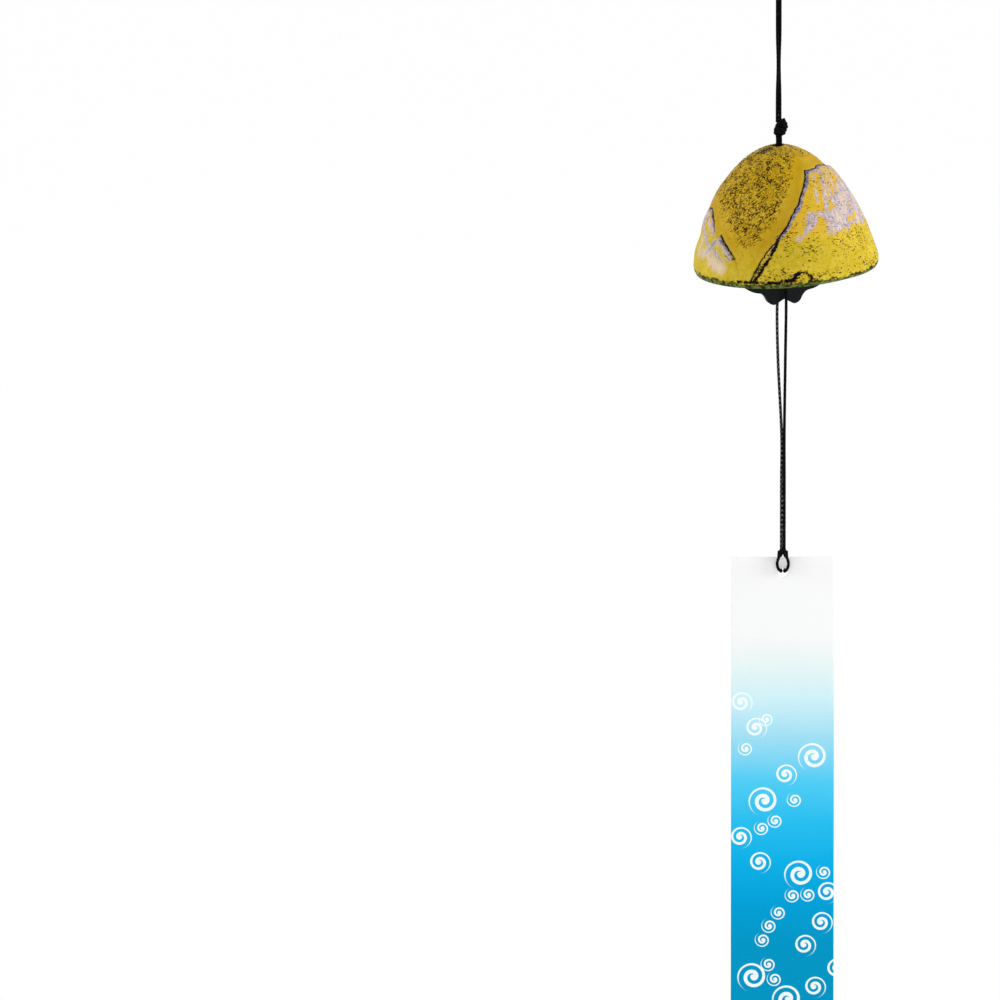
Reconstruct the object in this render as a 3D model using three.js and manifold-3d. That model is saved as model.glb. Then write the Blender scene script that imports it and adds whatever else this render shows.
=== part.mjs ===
// A cast-iron wind bell with its clapper, cords and paper strip, in millimetres, +Z up.
// The origin is the inside top of the hanging loop, where a hook bears. -Y is the bell's front.
import * as THREE from "three";
import { mergeVertices } from "three/addons/utils/BufferGeometryUtils.js";
import Module from "manifold-3d";

const wasm = await Module();
wasm.setup();

// Driving dimensions: the bell
const BELL_RADIUS = 37.4; // outside, at the rim
const BELL_HEIGHT = 51.4; // from the rim plane to the top of the crown
const HEIGHT_POWER = 1.652; // how square the dome's shoulder is, seen along its height
const RADIUS_POWER = 1.791; // and along its radius
const WALL = 2.6; // at the rim
const CROWN_WALL = 3.6; // at the crown
const CROWN_HOLE_RADIUS = 2.2;
const CROWN_LIP = 0.5; // chamfer round the mouth of the crown hole
const RIM_BAND = 1.7; // height of the bevelled band above the rim
const RIM_BEVEL = 0.8; // how far that band draws in
const BELL_TILT = 3.43; // degrees, the right side higher, as the bell rests on its knot
const RELIEF = 0.8; // how far the mountains stand proud of the sky
const RELIEF_EDGE = 1.4; // width of the step along a ridge

// Driving dimensions: the cord and its knots
const CORD_RADIUS = 0.62;
const PAIR_GAP = 0.06; // between two strands that lie side by side
const CLEARANCE = 0.3; // between pieces that touch
const LOOP_RADIUS = 4; // centreline of the hanging loop's round top
const LOOP_LENGTH = 14; // from the hook down to where the loop's legs meet
const HANGER_DROP = 78; // from the hook down to the top of the crown
const TWIST_START = 0.12; // the shares of the hanger between which its strands make half a turn
const TWIST_END = 0.9;
const TOP_KNOT_RADIUS = 3.1;
const TOP_KNOT_ABOVE_CROWN = 7.4; // centre of the knot above the crown
const TOP_KNOT_OFFSET = 0.9; // the knot lies mostly to the right of its strands
const KNOT_LUMP_RISE = 0.42; // of its upper and lower lumps from its centre, as a share of its radius
const UPPER_LUMP_HALF = 0.7; // half heights of those lumps, as shares of its radius
const LOWER_LUMP_HALF = 0.66;
const KNOT_STUB = 0.9; // height of the cut end above the knot
const INNER_KNOT_RADIUS = 3.2; // wider than the crown hole, so that it carries the bell

// Driving dimensions: the clapper
const CLAPPER_OFFSET = 2; // its hole to the right of the hook
const CLAPPER_YAW = 20; // degrees about the cord, the left wing nearer the front
const CLAPPER_THICKNESS = 3;
const CLAPPER_HOLE_RADIUS = 2;
const CLAPPER_HOLE_ABOVE_RIM = 4;
const CLAPPER_TOP = 6.5; // of the plate above its hole
const WING_SPAN = 52; // tip to tip
const WING_TIP_DROP = 2.5; // of the tips below the hole
const LOBE_DROP = 19.8; // of the two lower lobes below the hole
const LOBE_SPREAD = 4.5; // of each lobe from the middle
const NOTCH_DEPTH = 2.2; // of the notch between the lobes
const WING_END = 5; // height of each wing's blunt end
const TIE_RADIUS = 1.3; // of the two cord passes through the clapper's hole
const TIE_KNOT_RADIUS = 2.6;
const TIE_KNOT_DEPTH = 2.2; // of each knot, off the plate's face

// Driving dimensions: the lower strands and the strip
const FRONT_STRAND_ALONG = 0.2; // from the clapper's middle, to the right, at its lower edge
const BACK_STRAND_ALONG = -1.5;
const STRANDS_MEET = 0.62; // share of the drop to the hitch at which the two strands come together
const STRIP_OFFSET = 2; // the strip's middle to the right of the hook
const STRIP_BELOW_RIM = 121.8; // the strip's top edge below the rim's centre
const STRIP_WIDTH = 42;
const STRIP_LENGTH = 215;
const STRIP_THICKNESS = 0.5;
const STRIP_HOLE_RADIUS = 2;
const STRIP_HOLE_DROP = 6.7; // from the top edge to the hole's centre
const HITCH_HEIGHT = 3.6; // of the hitch above the strip's top edge
const HITCH_SPREAD = 2.15; // of each of the hitch's front legs
const HITCH_SLACK = 1.3; // between the loose hitch's legs and the card

// Mountain outlines on the bell: [azimuth in degrees, height above the rim], from the summit down
const BIG_SUMMIT = [[-52, 43.3], [-40, 43.4], [-27, 43.3], [-13, 43.4], [6, 43.3]];
const BIG_RIDGE = [
  [-52, 43.3], [-62, 39], [-69, 35.5], [-78, 30],
  [-86, 24.4], [-96, 17.9], [-105, 11.4], [-114, 0],
];
const NEAR_PEAK_LEFT = [[-173, 28.4], [-190, 20], [-215, 6], [-224, 0]];
const NEAR_PEAK_RIGHT = [[-173, 28.4], [-159, 26], [-152, 24], [-145, 20.2], [-132, 8], [-126, 0]];
const LOW_PEAK_LEFT = [[-139, 19.7], [-150, 15.4], [-160, 8], [-168, 0]];
const LOW_PEAK_RIGHT = [[-139, 19.7], [-134, 17.2], [-128, 14.5], [-122, 10.3], [-117, 0]];

// Mesh density
const BELL_SEGMENTS = 84;
const BELL_OUTER_ROWS = 22;
const BELL_INNER_ROWS = 8;
const CORD_SIDES = 8;
const CORD_STEP = 5 * CORD_RADIUS; // along a free stretch
const BEND_STEP = 1.6 * CORD_RADIUS; // round a tight bend

// Heights that follow from the driving dimensions
const INNER_RADIUS = BELL_RADIUS - WALL;
const INNER_HEIGHT = BELL_HEIGHT - CROWN_WALL;
const seatShare = (1 - (CROWN_HOLE_RADIUS / INNER_RADIUS) ** RADIUS_POWER) ** (1 / HEIGHT_POWER);
const seatHeight = INNER_HEIGHT * seatShare; // of the crown hole's lower edge
const seatDepth = Math.sqrt((INNER_KNOT_RADIUS + CLEARANCE) ** 2 - CROWN_HOLE_RADIUS ** 2);
const PIVOT_ABOVE_RIM = seatHeight - seatDepth; // the inner knot's centre, on which the bell rocks
const tilt = THREE.MathUtils.degToRad(BELL_TILT);
const PIVOT_Z = -HANGER_DROP - (BELL_HEIGHT - PIVOT_ABOVE_RIM) * Math.cos(tilt);
const RIM_Z = PIVOT_Z - PIVOT_ABOVE_RIM * Math.cos(tilt);
const TOP_KNOT_Z = -HANGER_DROP + TOP_KNOT_ABOVE_CROWN;
const CLAPPER_HOLE_Z = RIM_Z + CLAPPER_HOLE_ABOVE_RIM;
const STRIP_TOP_Z = RIM_Z - STRIP_BELOW_RIM;
const PAIR_HALF = CORD_RADIUS + PAIR_GAP / 2; // each strand's centre from the middle of a pair

// Materials
const paint = new THREE.MeshStandardMaterial({ color: 0xb5921c, roughness: 0.6, metalness: 0.1 });
const iron = new THREE.MeshStandardMaterial({ color: 0x141517, roughness: 0.55, metalness: 0.6 });
const braid = new THREE.MeshStandardMaterial({ color: 0x0d0d0f, roughness: 0.45, metalness: 0 });
const card = new THREE.MeshStandardMaterial({ color: 0x9fd8ee, roughness: 0.9, metalness: 0 });

// Solid geometry helpers

function toManifold(geometry) {
  const bare = geometry.clone();
  bare.deleteAttribute("normal");
  bare.deleteAttribute("uv");
  const merged = mergeVertices(bare, 1e-4);
  const triVerts = merged.index ? Uint32Array.from(merged.index.array) : null;
  return new wasm.Manifold(
    new wasm.Mesh({ numProp: 3, vertProperties: merged.getAttribute("position").array, triVerts }),
  );
}

function fromManifold(solid) {
  const mesh = solid.getMesh();
  const geometry = new THREE.BufferGeometry();
  geometry.setAttribute("position", new THREE.BufferAttribute(mesh.vertProperties, 3));
  geometry.setIndex(new THREE.BufferAttribute(mesh.triVerts, 1));
  geometry.computeVertexNormals();
  return geometry;
}

function join(...geometries) {
  return fromManifold(geometries.map(toManifold).reduce((all, next) => all.add(next)));
}

function cut(geometry, ...tools) {
  const solid = tools.map(toManifold).reduce((rest, tool) => rest.subtract(tool), toManifold(geometry));
  return fromManifold(solid);
}

function node(name, geometry, material) {
  const mesh = new THREE.Mesh(geometry, material.clone());
  mesh.name = name;
  return mesh;
}

// A cord's round section swept along its route
function cordAlong(points, radius = CORD_RADIUS, step = CORD_STEP) {
  const route = points.map((p) => new THREE.Vector3(...p));
  const curve = new THREE.CatmullRomCurve3(route, false, "centripetal");
  const section = new THREE.Shape(
    Array.from({ length: CORD_SIDES }, (_, i) => {
      const turn = (2 * Math.PI * i) / CORD_SIDES;
      return new THREE.Vector2(radius * Math.cos(turn), radius * Math.sin(turn));
    }),
  );
  const steps = Math.max(1, Math.ceil(curve.getLength() / step));
  return new THREE.ExtrudeGeometry(section, { steps, extrudePath: curve, curveSegments: 1 });
}

function lump(radii, centre) {
  return new THREE.SphereGeometry(1, 14, 9).scale(...radii).translate(...centre);
}

// A flat piece that stands in the X-Z plane, and a round hole through it
function sheet(outline, thickness) {
  const shape = new THREE.Shape(outline);
  const plate = new THREE.ExtrudeGeometry(shape, { depth: thickness, bevelEnabled: false });
  return plate.translate(0, 0, -thickness / 2).rotateX(Math.PI / 2);
}

function sheetHole(radius, thickness) {
  return new THREE.CylinderGeometry(radius, radius, thickness + 2, 24);
}

// The bell: an outer and an inner dome, a flat rim and a hole through the crown

function domePoint(radius, height, angle) {
  return {
    r: radius * Math.sin(angle) ** (2 / RADIUS_POWER),
    z: height * Math.cos(angle) ** (2 / HEIGHT_POWER),
  };
}

function angleAtRadius(radius, wanted) {
  return Math.asin((wanted / radius) ** (RADIUS_POWER / 2));
}

function angleAtHeight(height, wanted) {
  return Math.acos((wanted / height) ** (HEIGHT_POWER / 2));
}

function interpolate(points, key, value, wanted) {
  const rising = points[0][key] < points[points.length - 1][key];
  const list = rising ? points : [...points].reverse();
  if (wanted <= list[0][key]) return list[0][value];
  for (let i = 1; i < list.length; i++) {
    if (wanted <= list[i][key]) {
      const share = (wanted - list[i - 1][key]) / (list[i][key] - list[i - 1][key]);
      return THREE.MathUtils.lerp(list[i - 1][value], list[i][value], share);
    }
  }
  return list[list.length - 1][value];
}

const bigMiddle = (BIG_SUMMIT[0][0] + BIG_SUMMIT[BIG_SUMMIT.length - 1][0]) / 2;
const MOUNTAINS = [
  {
    summit: BIG_SUMMIT,
    left: BIG_RIDGE,
    right: BIG_RIDGE.map(([azimuth, height]) => [2 * bigMiddle - azimuth, height]),
  },
  { summit: [NEAR_PEAK_LEFT[0]], left: NEAR_PEAK_LEFT, right: NEAR_PEAK_RIGHT },
  { summit: [LOW_PEAK_LEFT[0]], left: LOW_PEAK_LEFT, right: LOW_PEAK_RIGHT },
];

// How far a point of the dome lies inside a mountain's outline, in millimetres
function depthInside(mountain, azimuth, height, radius) {
  const middle = (mountain.summit[0][0] + mountain.summit[mountain.summit.length - 1][0]) / 2;
  const around = middle + THREE.MathUtils.euclideanModulo(azimuth - middle + 180, 360) - 180;
  const perDegree = THREE.MathUtils.degToRad(1) * radius;
  const fromLeft = (around - interpolate(mountain.left, 1, 0, height)) * perDegree;
  const fromRight = (interpolate(mountain.right, 1, 0, height) - around) * perDegree;
  const fromTop = interpolate(mountain.summit, 0, 1, around) - height;
  return Math.min(fromLeft, fromRight, fromTop);
}

function reliefAt(azimuth, height, radius) {
  const depth = Math.max(...MOUNTAINS.map((mountain) => depthInside(mountain, azimuth, height, radius)));
  return RELIEF * THREE.MathUtils.smoothstep(depth, 0, RELIEF_EDGE);
}

function bellProfile() {
  const lipAngle = angleAtRadius(BELL_RADIUS, CROWN_HOLE_RADIUS + CROWN_LIP);
  const bandAngle = angleAtHeight(BELL_HEIGHT, RIM_BAND);
  const seatAngle = angleAtRadius(INNER_RADIUS, CROWN_HOLE_RADIUS);
  const crown = domePoint(BELL_RADIUS, BELL_HEIGHT, lipAngle);
  const outer = [{ r: CROWN_HOLE_RADIUS, z: crown.z - CROWN_LIP, carved: false }];
  for (let i = 0; i <= BELL_OUTER_ROWS; i++) {
    const angle = THREE.MathUtils.lerp(lipAngle, bandAngle, i / BELL_OUTER_ROWS);
    const next = domePoint(BELL_RADIUS, BELL_HEIGHT, angle + 1e-3);
    const here = domePoint(BELL_RADIUS, BELL_HEIGHT, angle);
    const slope = Math.hypot(next.r - here.r, next.z - here.z);
    const normal = { r: (here.z - next.z) / slope, z: (next.r - here.r) / slope };
    outer.push({ ...here, carved: i > 0, normal });
  }
  const rim = [
    { r: BELL_RADIUS - RIM_BEVEL, z: 0, carved: false },
    { r: INNER_RADIUS, z: 0, carved: false },
  ];
  const inner = [];
  for (let i = 1; i <= BELL_INNER_ROWS; i++) {
    const angle = THREE.MathUtils.lerp(Math.PI / 2, seatAngle, i / BELL_INNER_ROWS);
    inner.push({ ...domePoint(INNER_RADIUS, INNER_HEIGHT, angle), carved: false });
  }
  return [...outer, ...rim, ...inner];
}

function bellGeometry() {
  const profile = bellProfile();
  const positions = [];
  const indices = [];
  for (const point of profile) {
    for (let i = 0; i < BELL_SEGMENTS; i++) {
      const azimuth = (360 * i) / BELL_SEGMENTS;
      const raise = point.carved ? reliefAt(azimuth, point.z, point.r) : 0;
      const r = point.r + (raise ? raise * point.normal.r : 0);
      const z = point.z + (raise ? raise * point.normal.z : 0);
      const turn = THREE.MathUtils.degToRad(azimuth);
      positions.push(r * Math.cos(turn), r * Math.sin(turn), z);
    }
  }
  for (let row = 0; row < profile.length; row++) {
    for (let i = 0; i < BELL_SEGMENTS; i++) {
      const a = row * BELL_SEGMENTS + i;
      const b = row * BELL_SEGMENTS + ((i + 1) % BELL_SEGMENTS);
      const below = ((row + 1) % profile.length) * BELL_SEGMENTS;
      const c = below + i;
      const d = below + ((i + 1) % BELL_SEGMENTS);
      indices.push(a, c, b, b, c, d);
    }
  }
  const geometry = new THREE.BufferGeometry();
  geometry.setAttribute("position", new THREE.Float32BufferAttribute(positions, 3));
  geometry.setIndex(indices);
  geometry.computeVertexNormals();
  return geometry;
}

function makeBell() {
  const bell = node("bell", bellGeometry().translate(0, 0, -PIVOT_ABOVE_RIM), paint);
  bell.position.z = PIVOT_Z;
  bell.rotation.y = -tilt;
  return bell;
}

// The upper cord: loop, hanger strands, knots and neck

function makeHangingLoop() {
  const centre = CORD_RADIUS - LOOP_RADIUS;
  const top = [];
  for (let turn = -20; turn <= 200; turn += 20) {
    const angle = THREE.MathUtils.degToRad(turn);
    top.push([LOOP_RADIUS * Math.cos(angle), 0, centre + LOOP_RADIUS * Math.sin(angle)]);
  }
  const end = -LOOP_LENGTH;
  const leg = [[PAIR_HALF, 0, end], [PAIR_HALF, 0, end + 1.2], [PAIR_HALF + 0.7, 0, end + 3.6]];
  const otherLeg = leg.map(([x, y, z]) => [-x, y, z]).reverse();
  return node("hanging_loop", cordAlong([...leg, ...top, ...otherLeg], CORD_RADIUS, 2 * BEND_STEP), braid);
}

// The two hanger strands lie side by side at both ends and half a turn apart in between
function makeHangerStrands() {
  const start = -LOOP_LENGTH - CLEARANCE;
  const end = TOP_KNOT_Z + (KNOT_LUMP_RISE + UPPER_LUMP_HALF) * TOP_KNOT_RADIUS + CLEARANCE;
  const steps = 16;
  return [-1, 1].map((side) => {
    const points = [];
    for (let i = 0; i <= steps; i++) {
      const share = i / steps;
      const turn = Math.PI * THREE.MathUtils.smoothstep(share, TWIST_START, TWIST_END);
      points.push([
        side * PAIR_HALF * Math.cos(turn),
        side * PAIR_HALF * Math.sin(turn),
        THREE.MathUtils.lerp(start, end, share),
      ]);
    }
    return node(side < 0 ? "hanger_strand_left" : "hanger_strand_right", cordAlong(points), braid);
  });
}

function makeTopKnot() {
  const ball = TOP_KNOT_RADIUS;
  const rise = KNOT_LUMP_RISE * ball;
  const right = TOP_KNOT_OFFSET + 0.9;
  const stub = [[right, 0, 0], [right + 0.6, 0, ball + KNOT_STUB]];
  const knot = join(
    lump([0.8 * ball, 0.75 * ball, UPPER_LUMP_HALF * ball], [-0.1, 0, rise]),
    lump([0.68 * ball, 0.8 * ball, 0.62 * ball], [right + 0.2, 0.2, 0.7 * rise]),
    lump([0.88 * ball, 0.78 * ball, LOWER_LUMP_HALF * ball], [TOP_KNOT_OFFSET - 0.8, -0.1, -rise]),
    lump([0.6 * ball, 0.6 * ball, 0.56 * ball], [right, 0, -0.86 * rise]),
    cordAlong(stub, 0.9 * CORD_RADIUS),
  );
  const mesh = node("top_knot", knot, braid);
  mesh.position.z = TOP_KNOT_Z;
  return mesh;
}

function makeNeckStrands() {
  const top = TOP_KNOT_Z - (KNOT_LUMP_RISE + LOWER_LUMP_HALF) * TOP_KNOT_RADIUS - CLEARANCE;
  const bottom = PIVOT_Z + INNER_KNOT_RADIUS + CLEARANCE;
  return [-1, 1].map((side) =>
    node(
      side < 0 ? "neck_strand_left" : "neck_strand_right",
      cordAlong([[side * PAIR_HALF, 0, top], [side * PAIR_HALF, 0, bottom]]),
      braid,
    ),
  );
}

function makeInnerKnot() {
  const mesh = node("inner_knot", new THREE.SphereGeometry(INNER_KNOT_RADIUS, 20, 14), braid);
  mesh.position.z = PIVOT_Z;
  return mesh;
}

// The clapper: a flat plate with two wings and two lower lobes, in its own X-Z plane

function clapperOutline() {
  const tip = WING_SPAN / 2;
  const right = [
    [0, CLAPPER_TOP],
    [0.21 * tip, 0.86 * CLAPPER_TOP],
    [0.39 * tip, 0.48 * CLAPPER_TOP],
    [0.56 * tip, 0.36 * CLAPPER_TOP],
    [0.77 * tip, 0.27 * CLAPPER_TOP],
    [0.94 * tip, 0.38 * WING_END - WING_TIP_DROP],
    [tip, -0.08 * WING_END - WING_TIP_DROP],
    [0.93 * tip, -0.62 * WING_END - WING_TIP_DROP],
    [0.75 * tip, -0.5 * LOBE_DROP],
    [0.52 * tip, -0.69 * LOBE_DROP],
    [0.37 * tip, -0.745 * LOBE_DROP],
    [LOBE_SPREAD + 3.5, -0.83 * LOBE_DROP],
    [LOBE_SPREAD + 2.1, -0.95 * LOBE_DROP],
    [LOBE_SPREAD, -LOBE_DROP],
    [0.49 * LOBE_SPREAD, 0.45 * NOTCH_DEPTH - LOBE_DROP],
    [0, NOTCH_DEPTH - LOBE_DROP],
  ];
  const left = right.slice(1, -1).reverse().map(([x, z]) => [-x, z]);
  const points = [...right, ...left].map(([x, z]) => new THREE.Vector3(x, z, 0));
  const curve = new THREE.CatmullRomCurve3(points, true, "centripetal");
  return curve.getPoints(90).slice(0, -1).map((p) => new THREE.Vector2(p.x, p.y));
}

function makeClapper() {
  const plate = sheet(clapperOutline(), CLAPPER_THICKNESS);
  const hole = sheetHole(CLAPPER_HOLE_RADIUS, CLAPPER_THICKNESS);
  return node("clapper", cut(plate, hole), iron);
}

// The tie: two cord passes through the clapper's hole, with a knot on each face
function makeClapperKnot() {
  const face = CLAPPER_THICKNESS / 2 + CLEARANCE;
  const reach = face + TIE_KNOT_DEPTH / 2;
  const pin = new THREE.CylinderGeometry(TIE_RADIUS, TIE_RADIUS, 2 * reach, 12);
  const knots = [-1, 1].map((side) => {
    const knot = new THREE.CylinderGeometry(TIE_KNOT_RADIUS, TIE_KNOT_RADIUS, TIE_KNOT_DEPTH, 18);
    return knot.translate(0, side * reach, 0);
  });
  return node("clapper_knot", join(pin, ...knots), braid);
}

// Where the two strands lie off the plate's faces
const strandOffFace = CLAPPER_THICKNESS / 2 + CLEARANCE + TIE_KNOT_DEPTH / 2;

// A point given along the plate, off its face and up from its hole, in the object's own axes
function offPlate(along, off, up) {
  const yaw = THREE.MathUtils.degToRad(CLAPPER_YAW);
  return [
    CLAPPER_OFFSET + along * Math.cos(yaw) - off * Math.sin(yaw),
    along * Math.sin(yaw) + off * Math.cos(yaw),
    CLAPPER_HOLE_Z + up,
  ];
}

function makeInnerStrands() {
  const yaw = THREE.MathUtils.degToRad(CLAPPER_YAW);
  const top = PIVOT_Z - INNER_KNOT_RADIUS - CLEARANCE;
  const bottom = TIE_KNOT_RADIUS + CLEARANCE;
  return [-1, 1].map((side) => {
    const near = [-side * PAIR_HALF * Math.sin(yaw), side * PAIR_HALF * Math.cos(yaw)];
    const points = [
      [...near, top],
      [near[0] + 0.15, near[1], top - 4],
      offPlate(0, side * (PAIR_HALF + 0.5), bottom + 16),
      offPlate(0, side * strandOffFace, bottom + 4),
      offPlate(0, side * strandOffFace, bottom),
    ];
    return node(side < 0 ? "inner_strand_front" : "inner_strand_back", cordAlong(points), braid);
  });
}

function makeLowerStrands() {
  const start = -TIE_KNOT_RADIUS - CLEARANCE;
  const end = STRIP_TOP_Z + HITCH_HEIGHT + CLEARANCE;
  const meetZ = THREE.MathUtils.lerp(CLAPPER_HOLE_Z, end, STRANDS_MEET);
  return [
    { name: "front_strand", side: -1, along: FRONT_STRAND_ALONG },
    { name: "back_strand", side: 1, along: BACK_STRAND_ALONG },
  ].map(({ name, side, along }) => {
    const off = side * strandOffFace;
    const points = [
      offPlate(0, off, start),
      offPlate(0.3 * along, off, start - 4),
      offPlate(along, off, -LOBE_DROP),
      offPlate(along, 0.72 * off, -LOBE_DROP - 22),
      [STRIP_OFFSET - 0.9 * side * PAIR_HALF, 0.6 * side * PAIR_HALF, meetZ],
      [STRIP_OFFSET - side * PAIR_HALF, 0.2 * side * PAIR_HALF, meetZ - 18],
      [STRIP_OFFSET - side * PAIR_HALF, 0, end + 3],
      [STRIP_OFFSET - side * PAIR_HALF, 0, end],
    ];
    return node(name, cordAlong(points), braid);
  });
}

// The strip's hitch: down in front of the card, through its hole, up behind and round the strands
function makeStripHitch() {
  const underEdge = 1.8 * CLEARANCE + CORD_RADIUS; // of the cord's centre below the hole's top
  const hole = STRIP_HOLE_RADIUS - STRIP_HOLE_DROP - underEdge;
  const top = HITCH_HEIGHT;
  const bow = STRIP_THICKNESS / 2 + HITCH_SLACK + CORD_RADIUS;
  const pair = PAIR_HALF;
  const half = [
    [pair, 0, top],
    [pair, 0, 0.7 * top],
    [pair + 0.2, -0.5 * bow, 0.36 * top],
    [0.78 * HITCH_SPREAD, -bow, 0.04 * hole],
    [HITCH_SPREAD, -bow, 0.37 * hole],
    [0.84 * HITCH_SPREAD, -0.95 * bow, 0.72 * hole],
    [pair + 0.3, -0.74 * bow, 0.96 * hole],
    [pair + 0.05, 0, hole],
    [pair + 0.3, 0.74 * bow, 0.96 * hole],
    [0.63 * HITCH_SPREAD, bow, 0.68 * hole],
    [0.7 * HITCH_SPREAD, 1.02 * bow, 0.37 * hole],
    [0.81 * HITCH_SPREAD, bow, 0.04 * hole],
    [0.95 * HITCH_SPREAD, 0.6 * bow, 0.4 * top],
    [0.91 * HITCH_SPREAD, -0.23 * bow, 0.72 * top],
    [0.58 * HITCH_SPREAD, -0.86 * bow, 0.86 * top],
  ];
  const crossing = [[0, -1.05 * bow, 0.87 * top]];
  const other = half.map(([x, y, z]) => [-x, y, z]).reverse();
  const route = cordAlong([...half, ...crossing, ...other], CORD_RADIUS, BEND_STEP);
  const mesh = node("strip_hitch", route, braid);
  mesh.position.set(STRIP_OFFSET, 0, STRIP_TOP_Z);
  return mesh;
}

function makePaperStrip() {
  const half = STRIP_WIDTH / 2;
  const outline = [[-half, 0], [-half, -STRIP_LENGTH], [half, -STRIP_LENGTH], [half, 0]];
  const strip = sheet(outline.map(([x, z]) => new THREE.Vector2(x, z)), STRIP_THICKNESS);
  const hole = sheetHole(STRIP_HOLE_RADIUS, STRIP_THICKNESS).translate(0, 0, -STRIP_HOLE_DROP);
  const mesh = node("paper_strip", cut(strip, hole), card);
  mesh.position.set(STRIP_OFFSET, 0, STRIP_TOP_Z);
  return mesh;
}

// The assembly
const clapperGroup = new THREE.Group();
clapperGroup.add(makeClapper(), makeClapperKnot());
clapperGroup.position.set(CLAPPER_OFFSET, 0, CLAPPER_HOLE_Z);
clapperGroup.rotation.z = THREE.MathUtils.degToRad(CLAPPER_YAW);

const windBell = new THREE.Group();
windBell.name = "wind_bell";
windBell.add(makeHangingLoop(), ...makeHangerStrands(), makeTopKnot(), ...makeNeckStrands());
windBell.add(makeInnerKnot(), makeBell(), ...makeInnerStrands(), clapperGroup);
windBell.add(...makeLowerStrands(), makeStripHitch(), makePaperStrip());

export default windBell;
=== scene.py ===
"""An iron wind bell on black cord, with its clapper and its printed paper strip.

Sizes inside the classes are in millimetres, in the part's own frame: the origin is the inside top of the hanging
loop, +Z is up, and the bell's front looks towards -Y. Meshes are scaled to metres as they are made.
"""

import logging
import math
from contextlib import contextmanager
from dataclasses import dataclass, field
from enum import Enum
from typing import Iterator, Optional, Sequence, Union

import bpy
import numpy as np
from mathutils import Matrix, Vector, noise
from mathutils.kdtree import KDTree


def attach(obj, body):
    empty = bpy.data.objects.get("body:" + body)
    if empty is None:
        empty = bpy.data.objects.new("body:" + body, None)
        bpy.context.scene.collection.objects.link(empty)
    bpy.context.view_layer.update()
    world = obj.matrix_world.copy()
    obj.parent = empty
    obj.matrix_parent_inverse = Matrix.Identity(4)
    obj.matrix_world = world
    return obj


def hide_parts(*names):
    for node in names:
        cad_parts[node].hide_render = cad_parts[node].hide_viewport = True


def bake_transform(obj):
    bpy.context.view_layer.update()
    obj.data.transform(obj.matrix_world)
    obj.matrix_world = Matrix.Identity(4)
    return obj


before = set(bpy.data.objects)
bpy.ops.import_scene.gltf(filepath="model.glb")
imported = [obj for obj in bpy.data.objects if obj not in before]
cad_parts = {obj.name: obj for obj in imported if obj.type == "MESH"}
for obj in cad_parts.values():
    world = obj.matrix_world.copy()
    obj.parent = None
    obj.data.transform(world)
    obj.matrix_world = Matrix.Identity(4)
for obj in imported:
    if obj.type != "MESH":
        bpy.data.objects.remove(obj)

LOG = logging.getLogger("wind_bell")
MM = 0.001
ORIGIN = (0.0, 0.0, 0.0)
WHITE = (1.0, 1.0, 1.0, 1.0)

# Distance between the points of a cord's line, in millimetres
CORD_STEP = 0.2

# Distance at which a point counts as far from all that is drawn on the bell, in millimetres
FAR = 9.0

Place = Sequence[float]
Socket = bpy.types.NodeSocket
Value = Union[float, str, Place, Socket, "Signal"]


# Choices


class Side(Enum):
    """Which of a pair of strands or faces a piece is on."""

    FRONT = -1
    BACK = 1


class Whorl(Enum):
    """A printed whirl's radius, where in a turn its arm starts, and its hand."""

    LARGE = (6.5, 0.96, 1.0)
    MIDDLE = (4.9, 0.42, -1.0)
    SMALL = (3.3, 0.955, -1.0)


class Effects(Enum):
    """The shader node groups that the materials share."""

    MARKS = "Dry brush marks"
    SKIN = "Cast skin"
    MOTTLE = "Mottle"
    WHIRL = "Whirl"


# Small helpers


def linear(code: str) -> tuple[float, float, float, float]:
    """Turns a paint colour written as six hexadecimal digits into linear light.

    Args:
        code: Red, green and blue, as in a paint chart.

    Returns:
        The colour with full opacity.
    """
    parts = [int(code[i : i + 2], 16) / 255 for i in (0, 2, 4)]
    red, green, blue = (c / 12.92 if c <= 0.04045 else ((c + 0.055) / 1.055) ** 2.4 for c in parts)
    return red, green, blue, 1.0


def smooth(values: np.ndarray, low: float, high: float) -> np.ndarray:
    """Eases values from 0 at low to 1 at high.

    Args:
        values: What is eased.
        low: Where the result is 0.
        high: Where the result is 1.

    Returns:
        The eased values.
    """
    share = np.clip((values - low) / (high - low), 0, 1)
    return share * share * (3 - 2 * share)


def hump(values: np.ndarray, middle: float, width: float) -> np.ndarray:
    """Rises to 1 at the middle and falls to 0 on both sides.

    Args:
        values: Where it is asked for.
        middle: Where it is 1.
        width: How far off it has fallen to about a third.

    Returns:
        The heights.
    """
    return np.exp(-(((values - middle) / width) ** 2))


def distances(line: np.ndarray) -> np.ndarray:
    """How far along a line each of its points lies."""
    return np.concatenate([[0], np.cumsum(np.linalg.norm(np.diff(line, axis=0), axis=1))])


def resample(rows: np.ndarray, along: np.ndarray, count: int) -> np.ndarray:
    """Reads rows of values at even distances.

    Args:
        rows: The values at each point of a line.
        along: How far along it each point lies.
        count: How many rows come back.

    Returns:
        The new rows.
    """
    wanted = np.linspace(0, along[-1], count)
    return np.stack([np.interp(wanted, along, column) for column in rows.T], axis=1)


def pick(*pieces: bpy.types.Object) -> None:
    """Selects some pieces only, and makes the first one active.

    Args:
        *pieces: The pieces.
    """
    bpy.ops.object.select_all(action="DESELECT")
    for piece in pieces:
        piece.select_set(True)
    bpy.context.view_layer.objects.active = pieces[0]


def join(*pieces: bpy.types.Object) -> bpy.types.Object:
    """Joins some pieces into the first one.

    Args:
        *pieces: The pieces.

    Returns:
        The first one, which then holds them all.
    """
    pick(*pieces)
    bpy.ops.object.join()
    return pieces[0]


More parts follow.
